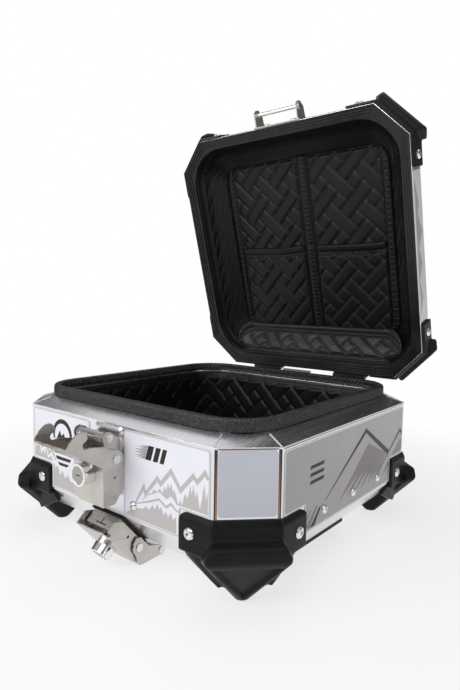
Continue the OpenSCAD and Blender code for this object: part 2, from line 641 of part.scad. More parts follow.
// side plate and web of the dock hook, (y, z)
dock_hook_outline = [
  [-186, 0], [-181, 6], [-175.5, 5], [-164, -9], dock_rod + [2, 6], dock_rod + [3, -5],
  [-172, -27.6], [-177, -27.2], [-184, -12]];
dock_hook_web = [
  [-178.7, -23.5], [-177, -27.2], [-172, -27.6], [-159, -26.6],
  [-159.2, -25], [-171.6, -25.9], [-175.8, -25.6], [-176.8, -23.4]];
module dock_latch_hook() color([0.76, 0.74, 0.71]) lift() {
  both_sides() side_plate(hook_in, hook_t) difference() {
    union() {
      polygon(dock_hook_outline);
      translate(dock_link) circle(8.6);
      translate(dock_rod) circle(6);
    }
    translate(dock_link) circle(hole_r);
    translate(dock_rod) circle(pin_r);
  }
  side_plate(-hook_in - 0.1, 2 * hook_in + 0.2) polygon(dock_hook_web);
}
module dock_latch_rod() color([0.8, 0.8, 0.8]) lift() pin_body(dock_rod, hook_in + hook_t);

// ---------- lid ----------
// profiles: [inset, height]
cap_out = [[0, mouth + 2.8], [0, lid_shoulder], [bevel_in, lid_top]];
cap_in = [[0, mouth + 1], [0, lid_shoulder - 0.6], [bevel_in - 0.9, lid_top - sheet]];
module lid_shell() color("silver") on_lid() difference() {
  octbody(0, cap_out);
  octbody(-sheet, cap_in);
  guard_holes(lid_guard_zs);
  striker_holes(wall_hole_len);
  hinge_holes(hinge_lid_screw_z, screw_hole_r, wall_hole_len);
}
// recessed frame with long grooves that meets the trim
frame_in = 16;
frame_top = 146.5;
frame_corner = 76; // length of the corner pieces
// height of the frame's sloped face at an inset, just clear of the tub's shoulder
function slope_z(inset) = mouth + 0.5 + inset * (shoulder_z - tub_h) / shoulder_in;
module rim_frame_all() difference() {
  union() {
    octbody(-sheet - 0.4, [[0, mouth + 0.4], [0, frame_top]]);
    // lip under the edge of the sheet
    octbody(-1, [[0, mouth + 0.4], [0, mouth + 2.7]]);
  }
  translate([0, 0, 134]) linear_extrude(30) inset_rrect(frame_in, 61);
  octbody(0, [[-4, 130], [-4, slope_z(0)], [0, slope_z(0)], [26, slope_z(26)]]);
  for (inset = [4, 7.6, 11.2]) difference() {
    octbody(-inset, [[0, 132], [0, slope_z(inset) + 1.3]]);
    octbody(-inset - 1.5, [[0, 131], [0, 150]]);
  }
}
module corner_blocks(size) four_corners()
  translate([half_w - size, half_d - size, 130]) cube([100, 100, 60]);
module lid_rim_frame() color([0.07, 0.07, 0.07]) on_lid() difference() {
  rim_frame_all();
  corner_blocks(frame_corner + 0.3);
}
module lid_rim_corners() color([0.07, 0.07, 0.07]) on_lid() intersection() {
  rim_frame_all();
  corner_blocks(frame_corner);
}
// padded lining: walls, panel and two pockets
panel_in = 50;
pocket_gap = 12;
module lid_liner() color([0.12, 0.12, 0.12]) on_lid() difference() {
  octbody(-sheet, [[0.9, 147], [0.9, lid_shoulder - 1], [bevel_in - 1.6, lid_top - sheet - 1.6]]);
  octbody(0, [[16.4, 146], [19.5, 157], [24, 172], [47, 192], [47, 210]]);
}
module lid_panel() color([0.12, 0.12, 0.12]) on_lid()
  translate([0, 0, 195]) linear_extrude(5) inset_rrect(panel_in, 26);
module lid_pockets() color([0.13, 0.13, 0.13]) on_lid() both_sides()
  translate([pocket_gap, -8, 190.5]) linear_extrude(4)
  rounded(half_w - panel_in - 2 * pocket_gap, half_d - 53.4, 8);
// wedge-shaped pad along the hinge side, with a thicker roll next to the panel; (y, z)
bolster_outline = [
  [180.4, 150], [176.2, 152], [176, 159.4], [168, 163.2], [152, 178.4], [143, 179.6],
  [136.5, 186], [137, 192], [142, 194.7], [152, 194.7], [190, 160]];
module lid_bolster() color([0.12, 0.12, 0.12]) on_lid() intersection() {
  side_plate(-170, 340) polygon(bolster_outline);
  translate([0, 160, 172]) rotate([-46, 0, 0]) translate([-163, -31, -50])
    linear_extrude(100) rounded(326, 62, 26);
  octbody(0, [[16.9, 147], [20, 157], [24.5, 172], [47.5, 192], [47.5, 194.7]]);
}

// ---------- striker ----------
module striker_bracket() color([0.78, 0.76, 0.73]) on_lid() difference() {
  union() {
    front_plate(-half_d - 0.1, 1.8) translate([-41, mouth + 1]) rounded(82, 26, 3);
    both_sides() side_plate(36, 2) polygon([[-half_d - 0.1, mouth + 3], rod + [-3, -8],
      rod + [-7, -3], rod + [-7, 4], rod + [1, 12], [-half_d - 0.1, mouth + 25]]);
  }
  xcyl(-60, 60, rod, rod_r);
  striker_holes(12);
}
module striker_rod() color([0.85, 0.85, 0.85]) on_lid() {
  xcyl(-38.2, 38.2, rod, rod_r);
  both_sides() xcyl(38.1, 40, rod, 4.6);
}
module striker_screws() color([0.8, 0.8, 0.8]) on_lid() for (s = [-1, 1])
  on_front(s * striker_screw_x, striker_screw_z, 2) button_screw(4.6, 2, 3.9);

base_shell();
base_rim_trim();
base_liner();
floor_mat();
dock_plate();
dock_screws();
guard_front_left();
guard_front_right();
guard_rear_left();
guard_rear_right();
guard_screws();
decal_front_left();
decal_front_right();
decal_left();
decal_right();
decal_back();
decal_corners();
wall_screws();
hinge_base_leaves();
hinge_lid_leaves();
hinge_pins();
hinge_screws();
lid_stop_plate();
latch_bracket();
latch_pivot_pin();
latch_handle();
latch_link_pin();
latch_barrel();
latch_hook();
latch_key_plug();
dock_latch_bracket();
dock_latch_pad();
dock_latch_pivot_pin();
dock_latch_handle();
dock_latch_link_pin();
dock_latch_barrel();
dock_latch_hook();
dock_latch_rod();
dock_latch_key_plug();
lid_shell();
lid_rim_frame();
lid_rim_corners();
lid_liner();
lid_panel();
lid_pockets();
lid_bolster();
lid_guard_front_left();
lid_guard_front_right();
lid_guard_rear_left();
lid_guard_rear_right();
lid_guard_screws();
lid_decals();
striker_bracket();
striker_rod();
striker_screws();
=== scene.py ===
# An aluminium case with four cut corners: a lined tub and a padded, pocketed lid, shown open.
# The front faces -Y, right is +X, and the hinge runs along X at the rear (+Y).
#
# Lengths are millimetres with z = 0 on the tub's underside, until to_model turns them into
# the frame's metres. The frame's origin is 12 mm lower, under the dock plate.
# Lid pieces are written closed and swung open by to_model.
import json
import math
import re
import bpy
import bmesh
import numpy as np
from mathutils import Matrix, Vector
from mathutils.geometry import tessellate_polygon


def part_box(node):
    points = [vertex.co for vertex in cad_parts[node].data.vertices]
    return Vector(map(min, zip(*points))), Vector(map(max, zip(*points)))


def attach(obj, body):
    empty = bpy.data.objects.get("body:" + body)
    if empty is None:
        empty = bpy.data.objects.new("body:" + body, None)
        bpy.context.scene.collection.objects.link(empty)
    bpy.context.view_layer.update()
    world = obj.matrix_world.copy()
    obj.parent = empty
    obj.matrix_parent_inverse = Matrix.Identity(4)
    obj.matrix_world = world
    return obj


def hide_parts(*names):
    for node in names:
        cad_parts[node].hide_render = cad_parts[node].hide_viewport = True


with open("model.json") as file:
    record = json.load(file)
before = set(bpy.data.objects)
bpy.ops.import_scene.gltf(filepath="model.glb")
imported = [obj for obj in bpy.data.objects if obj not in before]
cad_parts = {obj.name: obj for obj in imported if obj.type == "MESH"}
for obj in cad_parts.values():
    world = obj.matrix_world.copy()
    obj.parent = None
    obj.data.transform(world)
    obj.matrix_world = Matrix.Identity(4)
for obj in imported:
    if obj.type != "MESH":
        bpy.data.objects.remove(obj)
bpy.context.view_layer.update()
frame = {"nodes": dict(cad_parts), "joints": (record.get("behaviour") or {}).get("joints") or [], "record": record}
NODES = frame["nodes"]

# ---------------------------------------------------------------- driving dimensions
HALF_X, HALF_Y = 200.0, 197.0
CORNER_CUT = 46.0
# where the straight walls end and the cut corners begin
CORNER_X, CORNER_Y = HALF_X - CORNER_CUT, HALF_Y - CORNER_CUT
# middle of a cut corner's wall, and that wall's distance from the case's axis
CUT_MID_X, CUT_MID_Y = (CORNER_X + HALF_X) / 2, (CORNER_Y + HALF_Y) / 2
CUT_DISTANCE = (HALF_X + HALF_Y - CORNER_CUT) / math.sqrt(2)
DIAGONAL = 1 / math.sqrt(2)
DOCK_LIFT = 12.0
HINGE = np.array([0.0, 223.0, 128.0])
LID_PLANE = 195.0           # underside of the closed lid's top, which the padding hangs from
MIDDLE_STRIP_X = 3.0        # centre line of the strip between the two lid pockets

lid_hinge = [joint for joint in frame["joints"] if joint["name"] == "lid_hinge"][0]
if "range_deg" in lid_hinge:
    OPENING = math.radians(lid_hinge["range_deg"][1])
else:
    OPENING = max(abs(angle) for angle in lid_hinge["range_rad"])
_cos, _sin = math.cos(-OPENING), math.sin(-OPENING)
LID_TURN = np.array([[1, 0, 0], [0, _cos, -_sin], [0, _sin, _cos]])


def to_model(points, body):
    points = np.asarray(points, float).reshape(-1, 3)
    if body == "lid":
        points = (points - HINGE) @ LID_TURN.T + HINGE
    return (points + [0, 0, DOCK_LIFT]) * 0.001


def from_model(points, body):
    points = np.asarray(points, float).reshape(-1, 3) * 1000 - [0, 0, DOCK_LIFT]
    if body == "lid":
        points = (points - HINGE) @ LID_TURN + HINGE
    return points


# ---------------------------------------------------------------- shader nodes
def feed(tree, socket, value):
    """Link a socket, or set a value; a plain colour gains its alpha."""
    if isinstance(value, bpy.types.NodeSocket):
        tree.links.new(value, socket)
    else:
        socket.default_value = (*value, 1) if isinstance(value, tuple) else value


def add_node(tree, kind, *values, **settings):
    """New node with its settings made and its first inputs fed in order."""
    node = tree.nodes.new("ShaderNode" + kind)
    for setting, value in settings.items():
        setattr(node, setting, value)
    for index, value in enumerate(values):
        feed(tree, node.inputs[index], value)
    return node


class Material:
    """A Principled material; its plain colour and roughness lie under linked patterns."""

    def __init__(self, name, color, rough, metal=0.0, **inputs):
        self.material = bpy.data.materials.new(name)
        self.material.use_nodes = True
        self.tree = self.material.node_tree
        self.tree.nodes.clear()
        self.shader = self.add("BsdfPrincipled")
        self.add("OutputMaterial", self.shader.outputs[0])
        self.position = self.add("TexCoord").outputs["Object"]
        self.set("Base Color", color)
        self.set("Roughness", rough)
        self.set("Metallic", metal)
        for key, value in inputs.items():
            self.set(key.replace("_", " "), value)
        self.normal = None

    def add(self, kind, *values, **settings):
        return add_node(self.tree, kind, *values, **settings)

    def set(self, key, value):
        feed(self.tree, self.shader.inputs[key], value)

    def mapping(self, stretch=(1, 1, 1), turn=(0, 0, 0)):
        node = self.add("Mapping")
        feed(self.tree, node.inputs["Vector"], self.position)
        node.inputs["Scale"].default_value = stretch
        node.inputs["Rotation"].default_value = turn
        return node.outputs[0]

    def noise(self, scale, detail=3.0, rough=0.5, **mapping):
        node = self.add("TexNoise", self.mapping(**mapping))
        node.inputs["Scale"].default_value = scale
        node.inputs["Detail"].default_value = detail
        node.inputs["Roughness"].default_value = rough
        return node.outputs["Fac"]

    def cells(self, scale):
        node = self.add("TexVoronoi", self.mapping())
        node.inputs["Scale"].default_value = scale
        return node.outputs["Distance"]

    def remap(self, pattern, span=(0.3, 0.7), to=(0.0, 1.0)):
        return self.add("MapRange", pattern, *span, *to).outputs["Result"]

    def math(self, operation, first, second):
        return self.add("Math", first, second, operation=operation).outputs[0]

    def mix(self, factor, first, second):
        node = self.add("Mix", factor, data_type="RGBA")
        feed(self.tree, node.inputs[6], first)      # colour A
        feed(self.tree, node.inputs[7], second)     # colour B
        return node.outputs[2]

    def blend(self, pattern, span, first, second):
        """Colour running from first to second across the pattern's span."""
        return self.mix(self.remap(pattern, span), first, second)

    def edges(self, radius, strength):
        """Strength near edges, 0 elsewhere; radius in metres."""
        bevel = self.add("Bevel", samples=4)
        bevel.inputs["Radius"].default_value = radius
        flat = self.add("NewGeometry").outputs["Normal"]
        dot = self.add("VectorMath", bevel.outputs[0], flat, operation="DOT_PRODUCT")
        near = self.remap(dot.outputs["Value"], span=(0.995, 0.9))
        return self.math("MULTIPLY", near, strength)

    def tint(self, pattern, span, first, second):
        self.set("Base Color", self.blend(pattern, span, first, second))

    def roughen(self, pattern, to, span=(0.3, 0.7)):
        self.set("Roughness", self.remap(pattern, span, to))

    def roughen_twice(self, fine, to, broad, broad_span, broad_to):
        broad = (broad, broad_span, broad_to)
        self.set("Roughness", self.math("ADD", self.remap(fine, to=to), self.remap(*broad)))

    def bump(self, height, strength, distance):
        """Relief laid over any earlier relief; distance in metres."""
        node = self.add("Bump")
        node.inputs["Strength"].default_value = strength
        node.inputs["Distance"].default_value = distance
        feed(self.tree, node.inputs["Height"], height)
        if self.normal is not None:
            feed(self.tree, node.inputs["Normal"], self.normal)
        self.normal = node.outputs[0]
        self.set("Normal", self.normal)


# ---------------------------------------------------------------- materials
def anodised_sheet():
    """Brushed, clear anodised sheet: fine streaks and faint smudges."""
    mat = Material("aluminium_sheet", (0.80, 0.81, 0.83), rough=0.24, metal=1.0, Anisotropic=0.35)
    streak = mat.noise(scale=55, detail=2, stretch=(16.0, 0.8, 0.8), turn=(0, 0, 0.9))
    grain = mat.noise(scale=700, detail=2)
    smudge = mat.noise(scale=7)
    mat.roughen_twice(streak, (0.215, 0.265), smudge, broad_span=(0.35, 0.7), broad_to=(0.0, 0.07))
    mat.tint(smudge, (0.35, 0.75), (0.84, 0.85, 0.87), (0.72, 0.73, 0.76))
    mat.bump(streak, strength=0.03, distance=0.0002)
    mat.bump(grain, strength=0.02, distance=0.0001)
    return mat


def dusty_rubber():
    """Edge trim: dark rubber with pale dust specks."""
    mat = Material("trim_rubber", (0.022, 0.021, 0.021), rough=0.5, Specular_IOR_Level=0.4)
    grain = mat.noise(scale=900, rough=0.6)
    patches = mat.noise(scale=30, detail=4, rough=0.6)
    specks = mat.noise(scale=1500, detail=2, rough=0.7)
    rubber = mat.blend(grain, (0.45, 0.75), (0.007, 0.0062, 0.006), (0.024, 0.021, 0.02))
    mat.tint(specks, (0.585, 0.68), rubber, (0.36, 0.35, 0.34))
    mat.roughen(patches, to=(0.3, 0.48))
    mat.bump(grain, strength=0.5, distance=0.0005)
    return mat


def leather(name, color, specular, tone_scale, shades, rough, pore_gain=None):
    """Pebbled artificial leather with a soft sheen."""
    mat = Material(name, color, rough=0.42, Specular_IOR_Level=specular)
    pores = mat.cells(scale=950)
    fine = mat.noise(scale=1500, rough=0.6)
    tone = mat.noise(scale=tone_scale)
    if pore_gain is not None:
        pores = mat.math("MULTIPLY", pores, pore_gain)
    mat.tint(tone, (0.35, 0.7), *shades)
    mat.roughen_twice(fine, rough, tone, broad_span=(0.3, 0.7), broad_to=(-0.03, 0.05))
    mat.bump(pores, strength=0.22, distance=0.0006)
    mat.bump(fine, strength=0.15, distance=0.0003)
    return mat


def thread():
    mat = Material("thread", (0.04, 0.04, 0.042), rough=0.55)
    mat.bump(mat.noise(scale=1800, detail=2, stretch=(1, 1, 4)), strength=0.4, distance=0.0003)
    return mat


def foam():
    mat = Material("foam_mat", (0.045, 0.045, 0.048), rough=0.55, Sheen_Weight=0.25)
    fine = mat.noise(scale=700, detail=4, rough=0.7)
    bubbles = mat.cells(scale=260)
    mat.tint(fine, (0.35, 0.7), (0.02, 0.02, 0.021), (0.05, 0.05, 0.052))
    mat.bump(fine, strength=0.5, distance=0.0006)
    mat.bump(bubbles, strength=0.4, distance=0.001)
    return mat


def moulded_plastic():
    """Black plastic with a fine grain, lighter at the edges."""
    mat = Material("moulded_black", (0.022, 0.023, 0.026), rough=0.4, Specular_IOR_Level=0.13)
    grain = mat.noise(scale=1300, rough=0.6)
    tone = mat.noise(scale=18)
    base = mat.blend(tone, (0.35, 0.7), (0.006, 0.0063, 0.007), (0.011, 0.0113, 0.0122))
    lighter_edge = mat.edges(radius=0.0012, strength=0.5)
    mat.set("Base Color", mat.mix(lighter_edge, base, (0.06, 0.061, 0.066)))
    mat.roughen(tone, to=(0.33, 0.47))
    mat.bump(grain, strength=0.22, distance=0.0004)
    return mat


def frame_plastic():
    mat = Material("frame_black", (0.024, 0.024, 0.026), rough=0.36, Specular_IOR_Level=0.3)
    grain = mat.noise(scale=1100, rough=0.6)
    tone = mat.noise(scale=25)
    mat.tint(tone, (0.35, 0.7), (0.008, 0.008, 0.009), (0.018, 0.018, 0.02))
    mat.roughen(tone, to=(0.28, 0.42))
    mat.bump(grain, strength=0.18, distance=0.0003)
    return mat


def hinge_powder():
    """Powder coat with paler edges."""
    mat = Material("hinge_powder", (0.022, 0.022, 0.023), rough=0.45)
    grain = mat.noise(scale=850, detail=2)
    lighter_edge = mat.edges(radius=0.0006, strength=0.7)
    mat.set("Base Color", mat.mix(lighter_edge, (0.012, 0.012, 0.013), (0.09, 0.087, 0.083)))
    mat.roughen(grain, to=(0.36, 0.55))
    mat.bump(grain, strength=0.4, distance=0.0004)
    return mat


def ink(name, color, rough=0.34, metal=0.0, shades=True):
    """Printed ink, also used for reflections painted along the edges; dark inks have no clear coat. Shades gives
    it a slight mottle.
    """
    dark = max(color) < 0.06
    mat = Material(name, color, 0.5 if dark else rough, metal, Coat_Weight=0.0 if dark else 0.25,
                   Coat_Roughness=0.18, Specular_IOR_Level=0.22 if dark else 0.5)
    tone = mat.noise(scale=11, detail=4, rough=0.6)
    grain = mat.noise(scale=1600, detail=2)
    if shades:
        mat.tint(tone, (0.3, 0.75), color, tuple(min(1.0, part * 0.93) for part in color))
    mat.roughen(tone, to=(rough - 0.04, rough + 0.06))
    mat.bump(grain, strength=0.06, distance=0.0002)
    return mat


def brown_painted_reflection():
    """Painted reflection along the folded edges: copper ink that darkens with height between 85 and 145 mm in the
    frame.
    """
    mat = ink("painted_reflection_brown", (0.20, 0.105, 0.055), rough=0.3, metal=0.4, shades=False)
    height = mat.add("SeparateXYZ", mat.position).outputs["Z"]
    mat.tint(height, (0.085, 0.145), (0.34, 0.17, 0.085), (0.035, 0.026, 0.023))
    return mat


def painted_highlight_fold():
    """Pale beads for the sheet's folded edges: painted highlight, with a slight mottle."""
    mat = Material("fold_painted_highlight", (0.86, 0.86, 0.87), rough=0.32, metal=0.55)
    tone = mat.noise(scale=60, rough=0.6)
    mat.tint(tone, (0.3, 0.72), (0.88, 0.88, 0.89), (0.62, 0.61, 0.60))
    mat.bump(mat.noise(scale=240, detail=2), strength=0.25, distance=0.0003)
    return mat


def stop_plate():
    """Brushed plate, warmer and less bright than the latch."""
    mat = Material("stop_plate", (0.42, 0.37, 0.34), rough=0.5, metal=0.7)
    streak = mat.noise(scale=140, rough=0.55, stretch=(0.3, 1.0, 6.0))
    mat.tint(streak, (0.3, 0.72), (0.46, 0.40, 0.37), (0.33, 0.29, 0.265))
    mat.roughen(streak, to=(0.42, 0.56))
    mat.bump(streak, strength=0.1, distance=0.0003)
    return mat


def polished_steel():
    mat = Material("polished_fastener", (0.80, 0.79, 0.77), rough=0.2, metal=1.0)
    mat.roughen(mat.noise(scale=160), to=(0.12, 0.28))
    mat.bump(mat.noise(scale=500, detail=2), strength=0.06, distance=0.0002)
    return mat


def satin_steel():
    mat = Material("satin_stainless", (0.60, 0.575, 0.54), rough=0.3, metal=1.0)
    streak = mat.noise(scale=90, rough=0.55, stretch=(1.0, 0.25, 9.0))
    tone = mat.noise(scale=22, detail=4, rough=0.6)
    mat.roughen_twice(streak, (0.24, 0.36), tone, broad_span=(0.35, 0.7), broad_to=(-0.02, 0.08))
    mat.tint(tone, (0.3, 0.75), (0.64, 0.61, 0.57), (0.52, 0.495, 0.46))
    mat.bump(streak, strength=0.07, distance=0.0003)
    mat.bump(mat.noise(scale=900, detail=2), strength=0.10, distance=0.0002)
    return mat


def plated(name, color, rough, scale, to, bump):
    """Plated metal with uneven polish."""
    mat = Material(name, color, rough, metal=1.0)
    tone = mat.noise(scale, rough=0.6)
    mat.roughen(tone, to, span=(0.35, 0.7))
    mat.bump(tone, strength=bump, distance=0.0002)
    return mat


MATERIALS = {
    "shell_aluminium": anodised_sheet(),
    "trim_rubber": dusty_rubber(),
    "lining": leather("lining_leather", (0.024, 0.024, 0.026), specular=0.2, tone_scale=9,
                      shades=((0.0045, 0.0045, 0.005), (0.009, 0.009, 0.0095)),
                      rough=(0.29, 0.41), pore_gain=1.0),
    # the same hide, made a little lighter: painted light on the pad, which faces the lamps
    "bolster": leather("lining_bolster_painted_light", (0.03, 0.029, 0.028), specular=0.34, tone_scale=14,
                       shades=((0.017, 0.0163, 0.016), (0.03, 0.0285, 0.028)),
                       rough=(0.34, 0.46)),
    "thread": thread(),
    "mat_foam": foam(),
    "moulded_black": moulded_plastic(),
    "frame_black": frame_plastic(),
    "hinge_black": hinge_powder(),
    "front_print": ink("print_white", (0.80, 0.81, 0.88)),
    "print_rim": ink("print_pale_rim", (0.60, 0.555, 0.525)),
    "print_grey": ink("print_light_grey", (0.49, 0.465, 0.46)),
    "side_print": ink("print_side", (0.62, 0.60, 0.585)),
    "side_field": ink("print_side_field", (0.34, 0.322, 0.345)),
    "side_fill": ink("print_side_fill", (0.15, 0.136, 0.125)),
    "side_line": ink("print_side_line", (0.024, 0.02, 0.018)),
    "dark_ink": ink("print_dark", (0.022, 0.017, 0.017)),
    "fade_ink": ink("print_fade", (0.2, 0.17, 0.165)),
    # copper ink darkening upwards, painted as the reflection along the corners' folded edges
    "painted_reflection_brown": brown_painted_reflection(),
    "corner_print": ink("print_corner", (0.50, 0.515, 0.585), rough=0.36),
    # pale beads painted as highlights along the shoulder folds
    "fold_painted_highlight": painted_highlight_fold(),
    # copper line painted as the reflection under the walls' top edges
    "painted_reflection_copper": ink("painted_reflection_copper", (0.17, 0.095, 0.06), rough=0.3, metal=0.4),
    "stop_plate": stop_plate(),
    "bright_fasteners": polished_steel(),
    "latch_stainless": satin_steel(),
    "lock_chrome": plated("chrome_plate", (0.87, 0.87, 0.88), rough=0.09, scale=120,
                          to=(0.05, 0.16), bump=0.02),
    "key_brass": plated("plug_nickel", (0.40, 0.39, 0.375), rough=0.3, scale=300,
                        to=(0.22, 0.38), bump=0.08),
}


# ---------------------------------------------------------------- mesh helpers
def link_object(name, data):
    ob = bpy.data.objects.new(name, data)
    bpy.context.scene.collection.objects.link(ob)
    return ob


def add_mesh(name, points, faces, body, material, slot, replaces=None, sharp=None, closed=True):
    """Smooth-shaded piece riding on a body; sharp is an edge angle in degrees."""
    mesh = bpy.data.meshes.new(name)
    faces = [tuple(int(i) for i in face) for face in faces]
    mesh.from_pydata(to_model(points, body).tolist(), [], faces)
    if closed:
        bm = bmesh.new()
        bm.from_mesh(mesh)
        bmesh.ops.recalc_face_normals(bm, faces=bm.faces)
        bm.to_mesh(mesh)
        bm.free()
    mesh.polygons.foreach_set("use_smooth", [True] * len(mesh.polygons))
    if sharp:
        mesh.set_sharp_from_angle(angle=math.radians(sharp))
    mesh.materials.append(MATERIALS[material].material)
    ob = link_object(name, mesh)
    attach(ob, body)
    if replaces:
        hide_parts(replaces)


def grid_faces(rows, columns, wrap_rows=False, wrap_columns=False, first=0):
    i = np.arange(rows if wrap_rows else rows - 1)[:, None]
    j = np.arange(columns if wrap_columns else columns - 1)[None, :]
    i_next, j_next = (i + 1) % rows, (j + 1) % columns
    quads = [i * columns + j, i_next * columns + j, i_next * columns + j_next, i * columns + j_next]
    return np.stack(quads, -1).reshape(-1, 4) + first


def slab(front, back):
    """Closed solid between two grids of points."""
    rows, columns = front.shape[:2]
    count = rows * columns
    index = np.arange(count).reshape(rows, columns)
    rim = np.concatenate([index[:-1, 0], index[-1, :-1], index[:0:-1, -1], index[0, :0:-1]])
    after = np.roll(rim, -1)
    faces = [grid_faces(rows, columns), grid_faces(rows, columns, first=count)[:, ::-1],
             np.stack([rim, rim + count, after + count, after], -1)]
    return np.concatenate([front.reshape(-1, 3), back.reshape(-1, 3)]), np.concatenate(faces)


def sheet(x, y, front_z, back_z):
    """Closed sheet with a shaped front and a flat back."""
    back = np.stack([x, y, np.broadcast_to(back_z, x.shape)], -1)
    return slab(np.stack([x, y, front_z], -1), back)


def rounded_path(half_x, half_y, radius, counts):
    """Rounded rectangle from its front left: points, normals, distance along it."""
    x_steps, y_steps, corner_steps = counts
    flat_x, flat_y = half_x - radius, half_y - radius
    points, normals = [], []

    def side(start, end, steps, normal):
        for k in range(steps):
            t = k / steps
            points.append([a + (b - a) * t for a, b in zip(start, end)])
            normals.append(normal)

    def corner(x, y, start_angle):
        for k in range(corner_steps):
            angle = start_angle + math.pi / 2 * k / corner_steps
            normals.append((math.cos(angle), math.sin(angle)))
            points.append((x + radius * math.cos(angle), y + radius * math.sin(angle)))

    side((-flat_x, -half_y), (flat_x, -half_y), x_steps, (0, -1))
    corner(flat_x, -flat_y, -math.pi / 2)
    side((half_x, -flat_y), (half_x, flat_y), y_steps, (1, 0))
    corner(flat_x, flat_y, 0)
    side((flat_x, half_y), (-flat_x, half_y), x_steps, (0, 1))
    corner(-flat_x, flat_y, math.pi / 2)
    side((-half_x, flat_y), (-half_x, -flat_y), y_steps, (-1, 0))
    corner(-flat_x, -flat_y, math.pi)
    points = np.array(points)
    lengths = np.hypot(*(np.roll(points, -1, 0) - points).T)
    return points, np.array(normals), np.concatenate([[0], np.cumsum(lengths)[:-1]])


def ring_sweep(profile, counts, relief):
    """Closed band round the case from a profile of (inset, z, corner radius).

    counts are the steps along an x side, a y side and a corner.
    relief(row, distance, normals) gives shifts along the outward normal and along z.
    """
    rows = []
    for row, (inset, z, radius) in enumerate(profile):
        points, normals, distance = rounded_path(HALF_X - inset, HALF_Y - inset, radius, counts)
        outward, upward = relief(row, distance, normals)
        outward = np.broadcast_to(outward, distance.shape)
        upward = np.broadcast_to(upward, distance.shape)
        rows.append(np.column_stack([points + normals * outward[:, None], z + upward]))
    return np.concatenate(rows), grid_faces(len(profile), len(rows[0]), True, True)


def ease(x):
    x = np.clip(x, 0, 1)
    return x * x * (3 - 2 * x)


def dome(x):
    """Half circle: 1 at x = 0, 0 from |x| = 1 outwards."""
    return np.sqrt(np.clip(1 - np.asarray(x, float) ** 2, 0, 1))


def groove(x, width):
    return np.exp(-(x / width) ** 2)


def weave(x, y, pitch=20.5):
    """Diagonal basket relief, 0 to 1: 3 x 1 bars both ways, single squares between them."""
    shoulder = 0.32     # rounded margin of a bar, in squares
    a, b = (x + y) / math.sqrt(2) / pitch, (x - y) / math.sqrt(2) / pitch
    i, j = np.floor(a).astype(int), np.floor(b).astype(int)
    i_odd, j_odd = (i % 2 == 1), (j % 2 == 1)
    a_low, a_high = i.astype(float), i + 1.0
    b_low, b_high = j.astype(float), j + 1.0
    centre = ~i_odd & ~j_odd
    a_bar = centre & (((i // 2) + (j // 2)) % 2 == 0)
    b_bar = centre & ~a_bar
    a_low, a_high = np.where(a_bar, i - 1.0, a_low), np.where(a_bar, i + 2.0, a_high)
    b_low, b_high = np.where(b_bar, j - 1.0, b_low), np.where(b_bar, j + 2.0, b_high)
    # end squares of the bars along a, then of those along b
    a_end = i_odd & ~j_odd
    far = a_end & ((((i - 1) // 2) + (j // 2)) % 2 == 0)
    a_low = np.where(a_end, np.where(far, i - 2.0, i + 0.0), a_low)
    a_high = np.where(a_end, np.where(far, i + 1.0, i + 3.0), a_high)
    b_end = ~i_odd & j_odd
    far = b_end & (((i // 2) + ((j - 1) // 2)) % 2 == 1)
    b_low = np.where(b_end, np.where(far, j - 2.0, j + 0.0), b_low)
    b_high = np.where(b_end, np.where(far, j + 1.0, j + 3.0), b_high)
    a_gap, b_gap = np.minimum(a - a_low, a_high - a), np.minimum(b - b_low, b_high - b)
    return (dome(1 - np.clip(a_gap / shoulder, 0, 1))
            * dome(1 - np.clip(b_gap / shoulder, 0, 1)))


def ripple(x, phase=0.0):
    """Uneven gathers: two drifting waves, 8.3 and 5.1 mm long."""
    return (np.sin(x * 2 * math.pi / 8.3 + 0.9 * np.sin(x / 13.0 + phase)) * 0.6
            + np.sin(x * 2 * math.pi / 5.1 + phase + 1.3 * np.sin(x / 21.0)) * 0.4)


def round_corners(x, y, half_x, half_y, radius):
    """Pull a rectangular grid's corners onto a rounded rectangle."""
    beyond_x, beyond_y = np.abs(x) - (half_x - radius), np.abs(y) - (half_y - radius)
    corner = (beyond_x > 0) & (beyond_y > 0)
    reach = np.hypot(np.where(corner, beyond_x, 1), np.where(corner, beyond_y, 1))
    pull = np.where(corner, np.maximum(beyond_x, beyond_y) / reach, 1)
    return (np.where(corner, np.sign(x) * ((half_x - radius) + beyond_x * pull), x),
            np.where(corner, np.sign(y) * ((half_y - radius) + beyond_y * pull), y))


def edge_distance(x, y, half_x, half_y, radius):
    """Distance inside the edge of a rounded rectangle."""
    beyond_x, beyond_y = np.abs(x) - (half_x - radius), np.abs(y) - (half_y - radius)
    outside = np.hypot(np.maximum(beyond_x, 0), np.maximum(beyond_y, 0))
    return np.clip(radius - (outside + np.minimum(np.maximum(beyond_x, beyond_y), 0)), 0, None)


def graded(edge, start, length, steps):
    """Centred stations over a length: fine ones at both ends, even ones between."""
    even = np.linspace(start, length - start, steps)
    return np.concatenate([edge, even, length - edge[::-1]]) - length / 2


